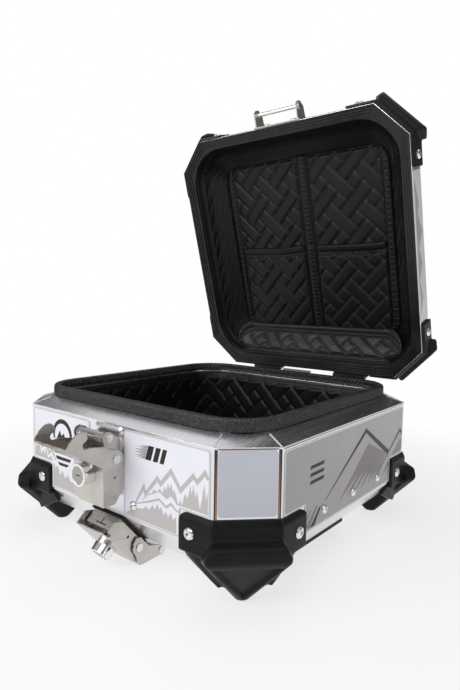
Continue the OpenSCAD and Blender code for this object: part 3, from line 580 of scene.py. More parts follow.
# ---------------------------------------------------------------- edge trim
def build_trim():
    """Ribbed rubber channel round the tub's rim."""
    outer, inner = 22.5, 30.5
    crown = [(22.8, 156.6), (23.6, 157.5), (24.8, 158.0), (26.5, 158.15),
             (28.2, 158.0), (29.4, 157.5), (30.2, 156.6)]
    slot = [(27.05, 146.2), (27.05, 155.1), (24.95, 155.1), (24.95, 146.2)]
    # (inset, z) up the outside, over the crown, down the inside and round the slot
    profile = [(outer, z) for z in np.linspace(144.6, 155.2, 8)] + crown
    profile += [(inner, z) for z in np.linspace(155.2, 146.2, 8)] + slot

    def zigzag(x):
        return np.abs((x % 1.0) * 2 - 1)

    def relief(row, distance, normals):
        z = profile[row][1]
        if row < 8:
            return 1.5 * zigzag(distance / 3.6 + z / 4.8) - 0.7, 0
        if row < 15:
            return 0.0, 1.4 * zigzag(distance / 3.6 + z / 4.8) - 0.8
        if row < 23:
            return -(1.9 * zigzag(distance / 6.2 + abs(z - 151.0) / 6.0) ** 1.5 - 0.9), 0
        return 0, 0

    rings = [(inset, z, 54.5 - (inset - outer)) for inset, z in profile]
    add_mesh("edge_trim", *ring_sweep(rings, (560, 550, 140), relief), "tub", "trim_rubber",
             "trim_rubber", replaces="base_rim_trim")


# ---------------------------------------------------------------- linings
def build_tub_lining():
    """Woven padding on the tub's inner walls."""
    bottom, top, back_inset = 8, 138.5, 31.6
    heights = np.linspace(bottom, top, 76)
    # (inset, z) up the padded face, over the top and down the back
    profile = [(37.5, z) for z in heights]
    profile += [(37.3, 140.6), (36.7, 142.0), (35.4, 142.6), (33.6, 142.6), (32.2, 142.0)]
    profile += [(back_inset, z) for z in (140.8, 100, 50, bottom)] + [(34.5, bottom)]

    def relief(row, distance, normals):
        if row >= len(heights):
            return 0, 0
        z = heights[row]
        fade = ease((z - bottom) / 5) * ease((top - z) / 5)
        seam = 1 - 0.9 * groove(distance, 2.0)
        height = 2.8 * weave(distance + 6, np.full_like(distance, z) + 9) + 0.5
        return -height * fade * seam, 0

    rings = [(inset, z, 46 - (inset - back_inset)) for inset, z in profile]
    add_mesh("tub_lining", *ring_sweep(rings, (164, 160, 34), relief), "tub", "lining", "lining",
             replaces="base_liner")


# (inset, z) of the lining where it turns over the lid's frame, closed lid
LID_WELT = [(3.0, 147.7), (10.0, 147.4), (14.6, 147.0), (15.9, 147.4), (16.6, 148.6),
            (17.3, 150.6), (18.4, 154.4), (19.5, 157.0)]
# the lid's inner wall: a steep slope from (20, 157), then a shallow one from (25, 172)
STEEP = (5, 15)
SHALLOW = (25, 21)
STEEP_LENGTH = math.hypot(*STEEP)
WALL_LENGTH = STEEP_LENGTH + math.hypot(*SHALLOW)


def lid_wall(distance):
    """Point (inset, z) and inward normal (inset, z) at a distance up the lid's inner wall."""
    steep_part = distance / STEEP_LENGTH
    shallow_part = (distance - STEEP_LENGTH) / math.hypot(*SHALLOW)
    steep = distance < STEEP_LENGTH
    inset = np.where(steep, 20 + STEEP[0] * steep_part, 25 + SHALLOW[0] * shallow_part)
    z = np.where(steep, 157 + STEEP[1] * steep_part, 172 + SHALLOW[1] * shallow_part)
    turn = ease((distance - (STEEP_LENGTH - 5)) / 10)
    angle = (math.atan2(-STEEP[0], STEEP[1]) * (1 - turn)
             + math.atan2(-SHALLOW[0], SHALLOW[1]) * turn)
    # ease the fold between the two slopes
    soft = 1.1 * groove(distance - STEEP_LENGTH, 5.0)
    return inset + soft * np.cos(angle), z + soft * np.sin(angle), np.cos(angle), np.sin(angle)


def lid_corner_radius(inset):
    return np.maximum(58 - (inset - 20) * 28 / 30, 20)


def build_lid_lining():
    """Lining of the lid's walls: woven on the left and right, wavy at the front."""
    stations = np.linspace(1.0, WALL_LENGTH, 30)
    insets, heights, normal_inset, normal_z = lid_wall(stations)
    profile = LID_WELT + list(zip(insets, heights)) + [(50.5, 196.2), (31, 196.2), (6, 171.0)]
    first = len(LID_WELT)

    def relief(row, distance, normals):
        k = row - first
        if not 0 <= k < len(stations):
            return 0, 0
        up = stations[k]
        sides = np.abs(normals[:, 0]) ** 2
        front = (normals[:, 1] < -0.5) * np.abs(normals[:, 1])
        fade = ease(up / 4) * ease((WALL_LENGTH - up) / 5)
        height = 1.5 * weave(distance + 11, np.full_like(distance, up) * 1.1 + 4) + 0.3
        height = sides * height + front * 0.5 * np.sin(distance / 37.0) * np.sin(up / 9.0)
        height = height * fade
        return -height * normal_inset[k], height * normal_z[k]

    rings = [(inset, z, lid_corner_radius(inset) if inset > 19 else 58 + (20 - inset) * 0.95)
             for inset, z in profile]
    add_mesh("lid_wall_lining", *ring_sweep(rings, (164, 160, 36), relief), "lid", "lining",
             "lining", replaces="lid_liner")


def build_lid_panel():
    """Padded panel: two quilted fields, a gathered middle strip and gathered side strips."""
    half_x, half_y = 150, 147
    x, y = np.meshgrid(np.linspace(-half_x, half_x, 251), np.linspace(-half_y, half_y, 245),
                       indexing="ij")
    across = np.abs(x)
    from_middle = x - MIDDLE_STRIP_X
    field = ease((np.abs(from_middle) - 10.5) / 2.5) * ease((136.6 - across) / 2.5)
    field = field * ease((146 - np.abs(y)) / 5)
    quilt = 2.9 * weave(x + np.where(x > MIDDLE_STRIP_X, -49.0, 79.5), y + 100.0) + 0.4
    puff = 1.6 * dome((across - 75.5) / 66) * dome(y / 150)
    arch = dome(from_middle / 9.0)
    middle = arch * (6.4 + 0.6 * ripple(y * 1.2) * arch)
    # the strip pinches where the cross seam ties it down
    middle = middle * (1 - 0.22 * groove(y + 6, 3.0))
    side = dome((across - 143.4) / 7.4) * (6.2 + 0.55 * ripple(y + np.where(x > 0, 40, 0), 1.7))
    height = np.maximum(np.maximum(field * (quilt + puff), middle), side)
    x, y = round_corners(x, y, half_x, half_y, 26)
    add_mesh("lid_quilted_panel", *sheet(x, y, LID_PLANE - height, 199.6), "lid", "lining",
             "lining", replaces="lid_panel")


def build_floor_mat():
    """Foam mat with pressed diagonal channels, a soft border and four dimples."""
    low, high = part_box("floor_mat")
    bottom, top = from_model(np.array([[0.0, 0.0, low[2]], [0.0, 0.0, high[2]]]), "tub")[:, 2]
    half_x, half_y, corner = HALF_X - 33, HALF_Y - 33, 44
    edge = np.array([0, 0.3, 0.8, 1.5, 2.4, 3.4])
    x, y = np.meshgrid(*(graded(edge, 4.6, 2 * half, int(2 * half / 1.35))
                         for half in (half_x, half_y)), indexing="ij")
    x, y = round_corners(x, y, half_x, half_y, corner)
    inside = edge_distance(x, y, half_x, half_y, corner)
    pitch = 24.0

    def to_channel(across):
        return np.abs((across / math.sqrt(2) / pitch + 0.5) % 1.0 - 0.5) * pitch

    channel = np.minimum(to_channel(x + y), to_channel(x - y))
    height = 2.9 * dome(1 - np.clip(channel / 4.6, 0, 1)) - 2.3
    field = ease((inside - 9) / 3)
    height = height * field + 0.5 * (1 - field) - 1.8 * groove(inside - 9.0, 1.3)
    height = height - 2.6 * (1 - dome(1 - np.clip(inside / 3.0, 0, 1)))
    surface = top + height
    # dimples over the dock screws
    for screw_x in (-90.0, 90.0):
        for screw_y in (-60.0, 60.0):
            away = np.hypot(x - screw_x, y - screw_y)
            dimple = bottom + 0.25 + (top - bottom) * ease((away - 6.6) / 2.4)
            surface = np.where(away < 10, np.minimum(surface, dimple), surface)
    add_mesh("floor_mat_foam", *sheet(x, y, surface, bottom), "tub", "mat_foam", "mat_foam",
             replaces="floor_mat")


# ---------------------------------------------------------------- lid pockets
POCKET_OUTER, POCKET_BOTTOM = 137.0, 143.4      # |x| of the outer edge, y of the low edge
SEAM = 13.2                                     # sewn groove's distance from the mouth
STITCH_RINGS, STITCH_SIDES = 7, 6


def pocket_mouth(part, side):
    """The pocket's sagging mouth: y at a part of its width, 0 to 1."""
    return -7.0 + 2.6 * np.sin(math.pi * part) + 0.5 * np.sin(part * 9 + side)


def pocket(side, inner, weave_x, weave_y):
    """One quilted pocket, its hem along the mouth."""
    part, down = np.meshgrid(np.linspace(0, 1, 115), np.linspace(0, 1, 135), indexing="ij")
    x = side * (inner + (POCKET_OUTER - inner) * part)
    mouth = pocket_mouth(part, side)
    y = mouth + (POCKET_BOTTOM - mouth) * down
    depth = y - mouth
    edge = ease(part / 0.03) * ease((1 - part) / 0.03)
    low = ease((POCKET_BOTTOM - y) / 5)
    quilt = 4.4 + 2.6 * weave(x + weave_x, y + weave_y) * ease((depth - 17.0) / 2.5)
    hem = 5.0 + 2.1 * dome((depth - 5.8) / 6.0)
    height = np.where(depth < 11.8, hem, quilt)
    height = height - 1.3 * groove(depth - SEAM, 1.0) - 0.7 * groove(depth - 16.6, 0.9)
    roll = dome(1 - np.clip(depth / 2.6, 0, 1))
    height = height * (0.15 + 0.85 * roll) * (0.35 + 0.65 * edge) * (0.3 + 0.7 * low)
    # the mouth gapes a little at mid-width
    height = height + 1.3 * np.sin(math.pi * part) * np.exp(-depth / 9.0)
    return sheet(x, y, LID_PLANE - height, 194.4)


def stitch(x, y, side):
    """One slightly arched, tapered stitch."""
    points = []
    for k in range(STITCH_RINGS):
        t = k / (STITCH_RINGS - 1)
        z = LID_PLANE - (3.55 + 0.35 * math.sin(math.pi * t))
        radius = 0.36 * math.sin(math.pi * (0.12 + 0.76 * t)) + 0.05
        for i in range(STITCH_SIDES):
            angle = i * math.pi / 3
            points.append((side * (x + 2.5 * t), y + radius * math.cos(angle),
                           z - radius * math.sin(angle)))
    return points


def build_pockets():
    points, faces, first = [], [], 0
    stitch_points, stitch_faces = [], []
    cap = np.arange(STITCH_SIDES)
    for side, weave_x, weave_y in ((-1, 70.0, -82.0), (1, -72.0, -79.0)):
        inner = 11.4 + side * MIDDLE_STRIP_X
        new_points, new_faces = pocket(side, inner, weave_x, weave_y)
        points.append(new_points)
        faces.append(new_faces + first)
        first += len(new_points)
        for x in np.arange(inner + 3, POCKET_OUTER - 3, 3.6):
            y = pocket_mouth((x - inner) / (POCKET_OUTER - inner), side) + SEAM
            start = len(stitch_points)
            stitch_points += stitch(x, y, side)
            stitch_faces += list(grid_faces(STITCH_RINGS, STITCH_SIDES, False, True, start))
            stitch_faces += [start + cap, start + (STITCH_RINGS - 1) * STITCH_SIDES + cap[::-1]]
    add_mesh("lid_pocket_pair", np.concatenate(points), np.concatenate(faces), "lid", "lining",
             "lining", replaces="lid_pockets")
    add_mesh("pocket_stitching", stitch_points, stitch_faces, "lid", "thread", "lining")


# ---------------------------------------------------------------- bolster
def build_bolster():
    """Wedge-shaped quilted pad along the hinge side, with a gathered roll round its edge.

    The roll is thin by the lid's frame and thick next to the panel.
    """
    frame_edge, panel_edge = np.array([181.0, 150.0]), np.array([139.0, 194.0])     # (y, z)
    width = float(np.hypot(*(panel_edge - frame_edge)))
    slope = (panel_edge - frame_edge) / width
    facing = np.array([-slope[1], slope[0]])
    half_length, corner = 162.0, 27.0
    edge = np.array([0, 0.25, 0.7, 1.3, 2.0, 2.8, 3.7, 4.6, 5.5])
    x, across = np.meshgrid(graded(edge, 6.4, 2 * half_length, 286),
                            graded(edge, 6.3, width, 58), indexing="ij")
    x, across = round_corners(x, across, half_length, width / 2, corner)
    inside = edge_distance(x, across, half_length, width / 2, corner)
    t = across + width / 2      # distance from the frame edge

    thicken = ease((t - 10) / 36)
    roll_width = 6.0 + 9.0 * thicken
    roll_height = 2.9 + 5.6 * thicken
    beyond = np.abs(x) - half_length
    fanned = x + np.sign(x) * 0.9 * (t - width / 2) * ease((beyond + 34) / 20)
    gather = (0.45 + 0.75 * ease((beyond + 60) / 40)) * ripple(fanned * 1.5, 0.6)
    main_width = roll_width * 0.72
    main = dome(2 * inside / main_width - 1)
    half_rest = 0.5 * (roll_width - main_width)
    second = dome((inside - main_width - half_rest) / half_rest)
    second = second * (0.42 * roll_height + 0.5 * gather) * (inside > main_width)
    roll = np.maximum(main * (roll_height + gather * main), second)
    quilt = 2.9 * weave(x + 9, t * 1.02 + 3, pitch=21.5) * ease((t - 9) / 6) + 0.5
    quilt = ease((inside - roll_width) / 2.2) * quilt
    base = np.interp(t, [0, 10, 14, 25, 42, width], [0.2, -1.5, -1.6, 0.4, 2.0, 2.0])
    height = base + np.where(inside < roll_width, roll, quilt)
    height = height - 1.2 * groove(inside - roll_width, 0.9) - 2.0 * (1 - ease(inside / 0.6))
    thickness = np.interp(t, [0, 15, 45, width], [5.0, 9.0, 9.0, 3.0])
    pinch = 1 - 0.085 * ease((t - 14) / 44)

    def surface(lift):
        y = frame_edge[0] + slope[0] * t + facing[0] * lift
        z = frame_edge[1] + slope[1] * t + facing[1] * lift
        # clear of the tub's edge trim when shut
        z = np.maximum(z, 159.6 - 4.0 * np.clip(y - 175.6, 0, 4))
        # follow half of the lid wall's rounding at the corners
        inset = HALF_Y - y
        radius = lid_corner_radius(inset)
        into = np.clip(np.abs(x) * pinch - (HALF_X - inset - radius), 0, radius * 0.93)
        drop = radius - np.sqrt(radius ** 2 - into ** 2)
        return np.stack([x * pinch, y - 0.5 * drop, z], -1)

    # painted light: the pad wears a lighter copy of the lining
    add_mesh("hinge_side_bolster", *slab(surface(height), surface(-thickness)), "lid", "bolster",
             "lining", replaces="lid_bolster" if "lid_bolster" in NODES else None)


# ---------------------------------------------------------------- corner guards
GUARD_DEPTH = 4.1       # how far the guards stand out where they are left whole


def shave(points, limit, most, where=True):
    """Press points standing further than limit off the case's walls back, by at most most."""
    size_x, size_y = np.abs(points[:, 0]), np.abs(points[:, 1])
    walls = np.stack([size_x - HALF_X, size_y - HALF_Y,
                      (size_x + size_y) / math.sqrt(2) - CUT_DISTANCE])
    nearest = walls.argmax(0)
    offset = walls.max(0)
    slanted = np.where(nearest == 2, DIAGONAL, 0)
    normal = np.stack([np.sign(points[:, 0]) * np.where(nearest == 0, 1, slanted),
                       np.sign(points[:, 1]) * np.where(nearest == 1, 1, slanted),
                       np.zeros(len(points))], -1)
    return points - normal * (np.clip(offset - limit, 0, most) * (offset > 0) * where)[:, None]


def remeshed(node, body):
    """A CAD piece rebuilt as an even, softened mesh."""
    ob = link_object("tmp_guard", NODES[node].data.copy())
    weld = ob.modifiers.new("w", "WELD")
    weld.merge_threshold = 0.00002
    remesh = ob.modifiers.new("r", "REMESH")
    remesh.mode = "VOXEL"
    remesh.voxel_size = 0.00135
    smooth = ob.modifiers.new("s", "SMOOTH")
    smooth.factor = 0.5
    smooth.iterations = 7
    depsgraph = bpy.context.evaluated_depsgraph_get()
    mesh = bpy.data.meshes.new_from_object(ob.evaluated_get(depsgraph))
    points = np.zeros(len(mesh.vertices) * 3)
    mesh.vertices.foreach_get("co", points)
    faces = [tuple(polygon.vertices) for polygon in mesh.polygons]
    bpy.data.objects.remove(ob)
    bpy.data.meshes.remove(mesh)
    return from_model(points, body), faces


def add_four_guards(prefix, points, faces, body):
    """Mirror the front right guard to all four corners."""
    for depth, flip_y in (("front", 1), ("rear", -1)):
        for side, flip_x in (("right", 1), ("left", -1)):
            name = f"{prefix}_{depth}_{side}"
            turned = faces if flip_x * flip_y > 0 else [face[::-1] for face in faces]
            add_mesh("moulded_" + name, points * [flip_x, flip_y, 1], turned, body,
                     "moulded_black", "moulded_black", replaces=name, closed=False)


def recess_triangle(points):
    """Sink a triangle, point down, into the guard's sloping lower face."""
    from_x, from_y = points[:, 0] - CUT_MID_X, points[:, 1] + CUT_MID_Y
    sideways = (from_x + from_y) * DIAGONAL
    outward = (from_x - from_y) * DIAGONAL
    # the face's line seen from the side, as (outward, z): top, direction down it, normal
    top = (18.2, 31.0)
    down = np.array([-40.7, -59.0]) / 71.7
    normal = (0.823, -0.568)
    along = (outward - top[0]) * down[0] + (points[:, 2] - top[1]) * down[1]
    above = (outward - top[0]) * normal[0] + (points[:, 2] - top[1]) * normal[1]
    half_width = 33.0 * (1 - (along - 7.5) / 57.0) + 2.0
    inside = np.minimum(along - 7.5, (half_width - np.abs(sideways)) * 0.87)
    inside = np.minimum(inside, 66.0 - along)
    cut = 3.2 * ease(inside / 3.0) * ease((above + 7.0) / 2.5) * (points[:, 2] < 33)
    shift = -normal[0] * cut * DIAGONAL
    return points + np.stack([shift, -shift, -normal[1] * cut], -1)


def build_guards():
    points, faces = remeshed("guard_front_right", "tub")
    # chamfer along the top of the ears and the band between them
    z = points[:, 2]
    points = shave(points, np.where(z > 59.5, GUARD_DEPTH - (z - 59.5) * 0.5, 99.0), most=3.0)
    # bevel at the outer ends of the ears
    for axis, sign, end in ((0, 1, CORNER_X - 43), (1, -1, CORNER_Y - 43)):
        past = points[:, axis] * sign - end
        limit = np.where(past < 2.4, GUARD_DEPTH - (2.4 - past) * 0.55, 99.0)
        points = shave(points, limit, most=2.0, where=points[:, 2] > 26)
    add_four_guards("guard", recess_triangle(points), faces, "tub")

    points, faces = remeshed("lid_guard_front_right", "lid")
    # chamfer along the lower edge
    z = points[:, 2]
    points = shave(points, np.where(z < 143.5, GUARD_DEPTH - (143.5 - z) * 0.55, 99.0), most=3.0)
    add_four_guards("lid_guard", points, faces, "lid")


# ---------------------------------------------------------------- flat prints
DECAL_DEPTH = 0.55      # the printed panels stand this far off the walls
PRINT_ROOT = -0.02      # prints start just under the surface they lie on


def plane(x, y, normal_x, normal_y, stand_off=0.0):
    """Placing function on an upright plane: (along, up, out) to x, y, z."""
    def place(along, up, out):
        out = out + stand_off
        return (x - normal_y * along + normal_x * out, y + normal_x * along + normal_y * out, up)
    return place


ON_FRONT = plane(0, -HALF_Y, 0, -1, DECAL_DEPTH)
ON_BACK = plane(0, HALF_Y, 0, 1, DECAL_DEPTH)
SIDES = (("right", 1), ("left", -1))


def on_side(sign, stand_off=DECAL_DEPTH):
    return plane(sign * HALF_X, 0, sign, 0, stand_off)


def add_prisms(name, polygons, place, material, slot, body="tub", height=0.05, step=0.0):
    """Thin plates of (along, up) polygons; step staggers their heights so none coincide."""
    points, faces = [], []
    for index, polygon in enumerate(polygons):
        polygon = [tuple(point) for point in polygon]
        area = sum(a[0] * b[1] - b[0] * a[1] for a, b in zip(polygon, polygon[1:] + polygon[:1]))
        if area < 0:
            polygon = polygon[::-1]
        count, base = len(polygon), len(points)
        for out in (PRINT_ROOT, height + step * (index % 9)):
            points += [place(along, up, out) for along, up in polygon]
        for a, b, c in tessellate_polygon([[Vector((*point, 0)) for point in polygon]]):
            faces.append((base + count + a, base + count + b, base + count + c))
            faces.append((base + a, base + c, base + b))
        for k in range(count):
            after = (k + 1) % count
            faces.append((base + k, base + after, base + count + after, base + count + k))
    add_mesh(name, points, faces, body, material, slot, sharp=30)


def add_print(name, layers, place, slot, body="tub"):
    """Layers of (material, polygons), each lying on the one before it."""
    for level, (material, polygons) in enumerate(layers):
        add_prisms(name + "_" + material, polygons, place, material, slot, body,
                   height=0.05 + 0.06 * level, step=0.0015)


def stroke(points, widths):
    """Outline of a mitred line, with one width or one per point."""
    points = [np.array(point, float) for point in points]
    if np.isscalar(widths):
        widths = [widths] * len(points)
    left, right = [], []
    for k, point in enumerate(points):
        before = point - points[k - 1] if k else points[1] - point
        after = points[k + 1] - point if k + 1 < len(points) else before
        before, after = before / np.hypot(*before), after / np.hypot(*after)
        normal = np.array([-before[1], before[0]])
        mitre = normal + np.array([-after[1], after[0]])
        mitre = mitre / np.hypot(*mitre)
        reach = widths[k] / 2 / max(float(mitre @ normal), 0.42)
        left.append(point + mitre * reach)
        right.append(point - mitre * reach)
    return left + right[::-1]


def soften(polygon, radius):
    """Round a polygon's corners with five-step curves."""
    rounded = []
    corners = [np.array(point, float) for point in polygon]
    for k, corner in enumerate(corners):
        back, ahead = corners[k - 1] - corner, corners[(k + 1) % len(corners)] - corner
        back_length, ahead_length = np.hypot(*back), np.hypot(*ahead)
        reach = min(radius, back_length * 0.45, ahead_length * 0.45)
        start, end = corner + back / back_length * reach, corner + ahead / ahead_length * reach
        for i in range(6):
            t = i / 5
            rounded.append((1 - t) ** 2 * start + 2 * t * (1 - t) * corner + t * t * end)
    return rounded


def arc(x, z, radius, start, end, steps=44):
    angles = [math.radians(start + (end - start) * k / steps) for k in range(steps + 1)]
    return [(x + radius * math.cos(angle), z + radius * math.sin(angle)) for angle in angles]


def rectangle(left, right, low, high):
    return [(left, low), (right, low), (right, high), (left, high)]


def slanted_bar(x, z, width, height, lean):
    return [(x, z), (x + width, z), (x + width + lean, z + height), (x + lean, z + height)]


# ---------------------------------------------------------------- front prints, (x, z)
RIDGE_UPPER = [(39.2, 47.0), (58.1, 76.7), (60.6, 69.6), (78.6, 90.0), (83.3, 85.2), (98.1, 101.8),
               (111.6, 85.4), (128.5, 103.8), (133.7, 98.7), (143.8, 110.3), (147.6, 104.4)]
RIDGE_UPPER_WIDTHS = [1.2, 4.2, 3.6, 4.6, 4.4, 4.8, 4.6, 4.6, 4.2, 4.2, 3.6]
RIDGE_LOWER = [(45.0, 55.0), (65.6, 62.2), (81.1, 68.7), (91.6, 63.1), (98.4, 68.2), (107.5, 62.4)]
RIDGE_LOWER_WIDTHS = [1.2, 2.2, 2.6, 2.6, 2.6, 2.0]
RANGE_UPPER = [
    (54, 60.5), (59, 66), (61.5, 66.9), (66, 71.5), (69, 71.6), (74, 77.5), (77.5, 75.6),
    (82.5, 80.5), (86, 76), (89.5, 84.5), (91.5, 80.5), (94.2, 88.5), (96.6, 83.5), (98.6, 90.0),
    (101.2, 80.5), (103, 84.5), (108.6, 70.6), (111.6, 76), (113.5, 70), (117.6, 84), (121, 79),
    (125, 93.4), (126.8, 84), (129, 95.5), (131.4, 82.5), (133.4, 90), (137.5, 73), (139.6, 82),
    (142.6, 98), (145.2, 84), (147.6, 92), (147.8, 70.0), (106.4, 69.6), (103.5, 72.5),
    (98.6, 76.2), (92.2, 71.4), (81.5, 76.6), (66, 69.4)]
RANGE_LOWER = [
    (28.6, 39.0), (33.0, 43.5), (40.5, 48.3), (46.5, 50.4), (58, 52.5), (61, 56.5), (66, 53.6),
    (72, 60.5), (74.6, 55.8), (79, 63.4), (81.6, 57.4), (84.2, 62.0), (88.2, 53.6), (91.6, 58.8),
    (94.4, 52.8), (98.6, 59.4), (101, 52.4), (105.8, 56.4), (106.2, 39.0)]
FADE_LENGTHS = (12, 18, 11, 21, 14.5, 20, 12, 16, 9)

LEFT_RIDGE = [(-147.6, 88), (-141, 99), (-133, 84), (-126, 93), (-117, 78), (-111, 84), (-103, 72)]
LEFT_RIDGE_WIDTHS = [3, 4, 4, 4, 3.6, 3.4, 2.4]
LEFT_RANGES = [
    [(-147.6, 70.0), (-147.6, 80), (-143.5, 88), (-141.2, 82), (-138.6, 86.5), (-134.8, 74),
     (-130.5, 80), (-127.5, 74.6), (-124.5, 83), (-119.4, 71.4), (-112.6, 75.5), (-108.6, 69.6)],
    [(-107.8, 39.0), (-107.8, 68.0), (-103, 62), (-98.6, 66.5), (-94, 55.5), (-88, 61.5),
     (-83.5, 53), (-78, 58.0), (-71, 51.2), (-62, 54), (-52, 48.4), (-44, 46.0), (-37.6, 39.0)]]
EMBLEM_PEAKS = [
    (-106, 90), (-93.5, 111), (-89.8, 104.5), (-85.6, 108.6), (-79.2, 98.6), (-74.5, 101.5),
    (-68.5, 90), (-76.5, 92.6), (-82.4, 90.8), (-87.2, 97.2), (-91.4, 91.6), (-97.4, 95.4)]
EMBLEM_BARS = [
    [(-107, 86.5), (-66, 86.5), (-68.4, 82.0), (-104.6, 82.0)],
    [(-103, 78.4), (-70.4, 78.4), (-73.4, 74.4), (-99.8, 74.4)],
    [(-98.2, 71.0), (-75.2, 71.0), (-79.2, 67.4), (-94.6, 67.4)]]


def build_front_right_print():
    """Grey peaks, slanted dark bars and fading lines left of the bars."""
    grey = [stroke(RIDGE_UPPER, RIDGE_UPPER_WIDTHS), stroke(RIDGE_LOWER, RIDGE_LOWER_WIDTHS),
            RANGE_UPPER, RANGE_LOWER]
    bars = [slanted_bar(x, 106.5, width, height=15.5, lean=5.0)
            for x, width in ((60, 8.6), (71.6, 7.0), (81.6, 6.0))]
    fading = []
    for k, length in enumerate(FADE_LENGTHS):
        z = 107.0 + 1.65 * k
        right = 59.4 + 0.32 * (z - 106.5)
        fading.append([(right - length, z + 0.2), (right, z - 0.15), (right, z + 1.05),
                       (right - length * 0.55, z + 0.75)])
    layers = [("print_grey", grey), ("dark_ink", bars), ("fade_ink", fading)]
    add_print("front_right_print", layers, ON_FRONT, "front_print")


def build_front_left_print():
    """Emblem of a sun arc over dark peaks and bars, with grey ranges round it."""
    sun = arc(-88, 106, 19.5, 200, -20) + arc(-88.6, 104.6, 15.4, -14, 196)
    layers = [("print_grey", [stroke(LEFT_RIDGE, LEFT_RIDGE_WIDTHS)] + LEFT_RANGES),
              ("dark_ink", [sun, EMBLEM_PEAKS] + EMBLEM_BARS)]
    add_print("front_left_print", layers, ON_FRONT, "front_print")


def build_front_rims():
    """Pale lines round the front fields, stepped in above the corner guards' ears."""
    low, step, high = 37.5, 67.5, 132.1
    outer, notch = CORNER_X - 4.9, CORNER_X - 44.5
    right = [(26.9, low), (notch, low), (notch, step), (outer, step), (outer, high), (26.9, high)]
    left = [(-34.9, low), (-34.9, high), (-outer, high), (-outer, step), (-notch, step),
            (-notch, low)]
    for side, outline in (("right", right), ("left", left)):
        outline = soften(outline, 4.0)
        add_print(f"front_{side}_rim", [("print_rim", [stroke(outline + [outline[0]], 1.5)])],
                  ON_FRONT, "front_print")


# ---------------------------------------------------------------- painted edge reflections and side prints
def build_corner_reflections():
    """Painted reflections on each cut corner: brown and dark lines down its edges, and a line along its top."""
    for sign_x in (1, -1):
        for sign_y in (-1, 1):
            place = plane(sign_x * CUT_MID_X, sign_y * CUT_MID_Y,
                          sign_x * DIAGONAL, sign_y * DIAGONAL)
            corner = "%d%d" % (sign_x > 0, sign_y > 0)
            # copper and dark strips painted as the reflection along each folded edge
            for name, material, near, far in (("copper", "painted_reflection_brown", 29.0, 31.0),
                                              ("dark", "dark_ink", 31.0, 32.2)):
                strips = [rectangle(s * near, s * far, 64.5, 134.4) for s in (-1, 1)]
                add_prisms(f"corner_edge_{name}_{corner}", strips, place, material,
                           "corner_print")
            # copper line painted as the reflection under the corner's top edge
            add_prisms("corner_top_painted_reflection_" + corner, [rectangle(-28.8, 28.8, 134.15, 135.25)],
                       place, "painted_reflection_copper", "corner_print")


def build_side_top_reflections():
    # copper line painted as the reflection under each side wall's top edge
    end = CORNER_Y - 2.5
    for side, sign in SIDES:
        add_prisms("side_top_painted_reflection_" + side, [rectangle(-end, end, 133.6, 134.8)],
                   on_side(sign, stand_off=0.0), "painted_reflection_copper", "side_print", height=0.06)


# (along, up) on the left and right walls
SIDE_FILLS = [
    [(38.8, 101.1), (94.4, 78.1), (80, 63.5), (73, 51), (71.5, 61), (63, 50), (63.5, 63),
     (53, 49.2), (55, 61.5), (41, 49.4), (48.5, 64), (22, 49.4), (41, 68), (2, 49.0), (30, 70.5),
     (-15, 49.2), (12, 70), (-34, 48.9)],
    [(141.6, 88.6), (145.2, 85.8), (145.2, 71.2), (112.5, 70.4)],
    [(110.6, 69.2), (104.8, 62.6), (104.8, 58.6), (84, 49.2), (98, 62.0)],
    [(104.8, 54), (104.8, 51.6), (94, 48.8)],
    [(-104.8, 43.4), (-86, 59.6), (-82.6, 58.6), (-98.5, 39.6), (-101, 39.6)]]
SIDE_LINES = [
    [(-66, 60.4), (-65.4, 60.0), (30.9, 115.8), (100.6, 73.2), (103.9, 79.0), (30.8, 121.6)],
    [(71, 57.6), (71.8, 57.2), (138.7, 98.4), (145.3, 91.6), (145.3, 96.8), (138.9, 102.8)],
    [(-97, 39.6), (-78.4, 56.6), (-75.4, 55.8), (-88.5, 39.6)],
    [(-104.8, 50.2), (-96.5, 58.4), (-96.0, 58.0), (-103.4, 50.2)]]
BACK_RIDGE = [(-104, 39.6), (-104, 49), (-78, 66), (-70, 58), (-48, 74), (-36, 64), (-8, 79.5),
              (14, 62), (30, 70), (52, 54), (70, 64), (104, 49), (104, 39.6)]


def stepped_field(foot, half_width, top, radius):
    """Field narrower at the foot, where it stands between the corner guards."""
    low, step = 38.6, 68.6
    return soften([(-foot, low), (foot, low), (foot, step), (half_width, step), (half_width, top),
                   (-half_width, top), (-half_width, step), (-foot, step)], radius)


def build_side_prints():
    field = stepped_field(CORNER_Y - 45.4, CORNER_Y - 5.5, top=130.0, radius=4.5)
    bars = [slanted_bar(-100.0, z, 28.0, height=3.6, lean=2.0) for z in (86.0, 94.0, 102.0)]
    layers = [("side_field", [field]), ("side_fill", SIDE_FILLS), ("side_line", SIDE_LINES + bars)]
    for side, sign in SIDES:
        add_print("side_print_" + side, layers, on_side(sign), "side_print")
    field = stepped_field(CORNER_X - 45.4, CORNER_X - 6.0, top=82.0, radius=3.5)
    layers = [("side_field", [field]), ("side_fill", [BACK_RIDGE])]
    add_print("side_print_back", layers, ON_BACK, "side_print")


def build_lid_prints():
    end = CORNER_Y - 48
    ridge = [(-end + 6, 143.0), (-60, 156), (-48, 149), (-22, 163), (0, 148), (20, 157),
             (46, 145), (70, 154), (end - 8, 143.0)]
    for side, sign in SIDES:
        add_print("lid_print_" + side, [("side_field", [ridge])], on_side(sign), "side_print",
                  body="lid")
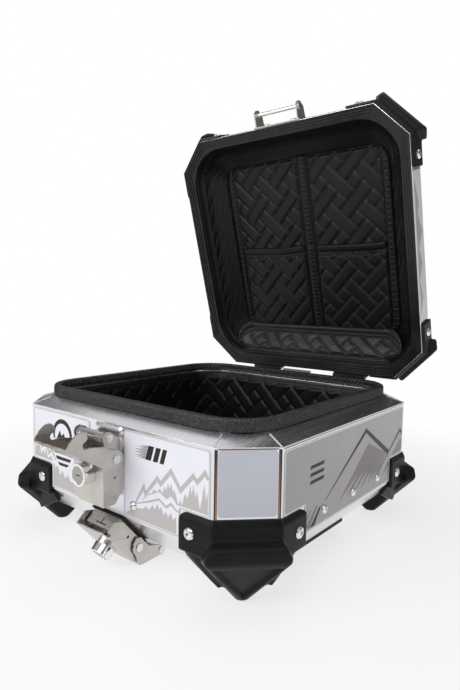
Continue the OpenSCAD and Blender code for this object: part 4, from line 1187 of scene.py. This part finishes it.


# ---------------------------------------------------------------- shoulder folds, painted highlights
def tube(start, end, steps, radius, points, faces, sides=8):
    """Append a straight closed bar to points and faces."""
    start, end = np.array(start), np.array(end)
    base = len(points)
    direction = (end - start) / np.linalg.norm(end - start)
    helper = (0, 0, 1.0) if abs(direction[2]) < 0.9 else (1.0, 0, 0)
    first = np.cross(direction, helper)
    first /= np.linalg.norm(first)
    second = np.cross(direction, first)
    for t in np.linspace(0, 1, steps + 1):
        centre = start * (1 - t) + end * t
        for i in range(sides):
            angle = 2 * math.pi * i / sides
            points.append(centre + radius * (math.cos(angle) * first + math.sin(angle) * second))
    faces += list(grid_faces(steps + 1, sides, False, True, base))
    faces.append(base + np.arange(sides)[::-1])
    faces.append(base + steps * sides + np.arange(sides))


def build_fold_highlights():
    """Pale beads painted as highlights along the tub's shoulder folds: eight hips and the edge where the walls
    turn in.
    """
    def octagon(inset, z):
        x, y = HALF_X - inset, HALF_Y - inset
        corner_x = CORNER_X - inset * (math.sqrt(2) - 1)
        corner_y = CORNER_Y - inset * (math.sqrt(2) - 1)
        return [(x, -corner_y, z), (x, corner_y, z), (corner_x, y, z), (-corner_x, y, z),
                (-x, corner_y, z), (-x, -corner_y, z), (-corner_x, -y, z), (corner_x, -y, z)]

    points, faces = [], []
    hip_inset = 21.5
    hip_tops = octagon(hip_inset, 136 + 9 * hip_inset / 25 - 0.15)
    for low, high in zip(octagon(0.35, 135.85), hip_tops):
        tube(low, high, 4, 0.75, points, faces)
    edge = octagon(0.25, 135.75)
    for k in (0, 1, 3, 4, 5, 6, 7):     # all but the rear side
        tube(edge[k], edge[(k + 1) % 8], 8, 0.5, points, faces)
    add_mesh("shoulder_fold_highlights", points, faces, "tub", "fold_painted_highlight", "shell_aluminium", sharp=40)


# ---------------------------------------------------------------- CAD pieces kept as they are
# (name pattern, slot), first match wins; for pieces the record gives no slot
FALLBACK_SLOTS = (
    (r"^(base|lid)_shell$", "shell_aluminium"), (r"^decal_front", "front_print"),
    (r"^decal_corners$", "corner_print"), (r"^decal|^lid_decals$", "side_print"),
    (r"^lid_rim", "frame_black"), (r"^hinge_.*leaves", "hinge_black"),
    (r"screw|pin|rod", "bright_fasteners"), (r"barrel", "lock_chrome"), (r"plug", "key_brass"),
    (r"^(dock_plate|dock_latch_pad)$", "moulded_black"), (r"^floor_mat$", "mat_foam"),
    (r"", "latch_stainless"))
BEVEL_WIDTHS = {
    "base_shell": 0.7, "lid_shell": 0.7, "dock_plate": 1.0, "floor_mat": 1.2,
    "lid_rim_frame": 0.35, "lid_rim_corners": 0.35, "latch_handle": 0.45,
    "dock_latch_handle": 0.45, "latch_hook": 0.4, "dock_latch_hook": 0.4}


def recorded_slots():
    """Slot of each piece, from the record's slot list or else from anywhere in the record."""
    slots = {}
    record = frame["record"]
    listed = record.get("material_slots", [])
    for entry in listed if isinstance(listed, list) else []:
        for name in entry.get("nodes", []):
            slots[name] = entry.get("name") or entry.get("slot")
    if slots:
        return slots

    def walk(item):
        if isinstance(item, dict):
            named = "name" in item or "slot" in item
            if named and isinstance(item.get("nodes"), list):
                for name in item["nodes"]:
                    if isinstance(name, str):
                        slots.setdefault(name, item.get("slot") or item.get("name"))
            item = list(item.values())
        if isinstance(item, list):
            for child in item:
                walk(child)

    walk({key: value for key, value in record.items() if key != "behaviour"})
    return slots


def dress_cad():
    """Give the visible CAD pieces their materials and softened edges."""
    slots = recorded_slots()
    for name, ob in NODES.items():
        if ob.hide_render:
            continue
        slot = slots.get(name) or next(fallback for pattern, fallback in FALLBACK_SLOTS
                                       if re.search(pattern, name))
        mesh = ob.data
        mesh.materials.clear()
        material = "stop_plate" if name == "lid_stop_plate" else slot
        mesh.materials.append(MATERIALS[material].material)
        if "custom_normal" in mesh.attributes:
            mesh.attributes.remove(mesh.attributes["custom_normal"])
        mesh.polygons.foreach_set("use_smooth", [True] * len(mesh.polygons))
        weld = ob.modifiers.new("weld", "WELD")
        weld.merge_threshold = 0.00001
        width = BEVEL_WIDTHS.get(name, 0.3)
        if name.startswith("decal") or name == "lid_decals":
            width = 0.12
        bevel = ob.modifiers.new("bevel", "BEVEL")
        bevel.width = width * 0.001
        bevel.segments = 3 if width > 0.5 else 2
        bevel.limit_method = "ANGLE"
        bevel.angle_limit = math.radians(28)
        bevel.harden_normals = False
        normals = ob.modifiers.new("normals", "WEIGHTED_NORMAL")
        normals.keep_sharp = False
        normals.weight = 60


# ---------------------------------------------------------------- stage, in metres
# name, location, target, size (x, y), power, colour
LIGHTS = (
    ("key_front", (-0.75, -2.0, 1.25), (0, 0, 0.12), (1.5, 1.1), 26, (1.0, 0.995, 0.99)),
    ("fill_right", (2.3, 0.1, 0.9), (0, 0, 0.12), (1.4, 1.2), 5.5, (1.0, 0.98, 0.97)),
    ("top", (0.1, 0.25, 2.3), (0, 0, 0.1), (1.8, 1.4), 10, (1, 1, 1)),
    ("back_left", (-2.1, 1.45, 2.35), (0, 0, 0.12), (1.9, 1.6), 5.5, (1, 1, 1)),
    ("inside", (0.5, -0.85, 0.95), (0, 0.3, 0.33), (0.7, 0.5), 3.0, (1, 1, 1)),
)
# sky colours seen by the surfaces: (height, colour) at both ends, (height, grey) between
SKY_ENDS = ((0.0, (0.62, 0.62, 0.63, 1)), (1.0, (0.95, 0.96, 1.0, 1)))
SKY_GREYS = ((0.16, 0.5), (0.30, 0.16), (0.42, 0.2), (0.60, 0.8))


def build_floor():
    """White paper that turns into plain white light away from the case."""
    mesh = bpy.data.meshes.new("floor")
    half, z = 30.0, -0.0165
    corners = [(-half, -half, z), (half, -half, z), (half, half, z), (-half, half, z)]
    mesh.from_pydata(corners, [], [(0, 1, 2, 3)])
    floor = link_object("floor", mesh)
    material = bpy.data.materials.new("floor_paper")
    material.use_nodes = True
    tree = material.node_tree
    paper = tree.nodes["Principled BSDF"]
    paper.inputs["Base Color"].default_value = (0.93, 0.93, 0.935, 1)
    paper.inputs["Roughness"].default_value = 0.8
    position = add_node(tree, "TexCoord").outputs["Object"]
    distance = add_node(tree, "VectorMath", operation="LENGTH")
    tree.links.new(position, distance.inputs[0])
    # from 0.34 m to 0.8 m out, the share and strength of the light go from 0.72 to 1
    fade = add_node(tree, "MapRange", distance.outputs["Value"], 0.34, 0.8, 0.72, 1.0,
                    interpolation_type="SMOOTHSTEP").outputs["Result"]
    light = add_node(tree, "Emission")
    light.inputs["Strength"].default_value = 1.0
    mixed = add_node(tree, "MixShader", fade, paper.outputs[0], light.outputs[0])
    tree.links.new(mixed.outputs[0], tree.nodes["Material Output"].inputs[0])
    mesh.materials.append(material)


def build_world():
    """Plain white to the camera, a graded studio to everything else."""
    world = bpy.data.worlds.new("studio")
    bpy.context.scene.world = world
    world.use_nodes = True
    tree = world.node_tree
    tree.nodes.clear()
    direction = add_node(tree, "TexCoord").outputs["Generated"]
    height = add_node(tree, "SeparateXYZ", direction).outputs["Z"]
    sky = add_node(tree, "ValToRGB", height)
    stops = sky.color_ramp.elements
    for stop, (position, color) in zip(stops, SKY_ENDS):
        stop.position = position
        stop.color = color
    for position, grey in SKY_GREYS:
        stops.new(position).color = (grey, grey, grey * 1.02, 1)
    seen = add_node(tree, "Background", (1, 1, 1), 1.0)
    lighting = add_node(tree, "Background", sky.outputs[0], 0.42)
    to_camera = add_node(tree, "LightPath").outputs["Is Camera Ray"]
    mixed = add_node(tree, "MixShader", to_camera, lighting.outputs[0], seen.outputs[0])
    add_node(tree, "OutputWorld", mixed.outputs[0])


def build_lights():
    for name, location, target, size, power, color in LIGHTS:
        light = bpy.data.lights.new(name, "AREA")
        light.energy = power
        light.shape = "RECTANGLE"
        light.size, light.size_y = size
        light.color = color
        ob = link_object(name, light)
        ob.location = location
        aim = Vector(target) - Vector(location)
        ob.rotation_euler = aim.to_track_quat("-Z", "Y").to_euler()


def build_camera():
    camera = bpy.data.cameras.new("camera")
    camera.sensor_width = 36
    camera.lens = 28.0993043
    ob = link_object("camera", camera)
    forward = Vector((-0.6253, 0.7754, -0.0883)).normalized()
    level = Vector((0.7784, 0.6277, 0)).normalized()
    upright = level.cross(forward).normalized()
    roll = 0.0165
    right = level * math.cos(roll) + upright * math.sin(roll)
    up = -level * math.sin(roll) + upright * math.cos(roll)
    location = Vector((0.4722, -0.5707, 0.2883))
    rows = [values for values in zip(right, up, -forward, location)]
    ob.matrix_world = Matrix((*rows, (0, 0, 0, 1)))
    bpy.context.scene.camera = ob


build_trim()
build_tub_lining()
build_lid_lining()
build_lid_panel()
build_floor_mat()
build_pockets()
build_bolster()
build_guards()
build_front_right_print()
build_front_left_print()
build_front_rims()
build_corner_reflections()
build_side_top_reflections()
build_side_prints()
build_lid_prints()
build_fold_highlights()
dress_cad()
build_floor()
build_world()
build_lights()
build_camera()
bpy.context.scene.view_settings.view_transform = "Standard"
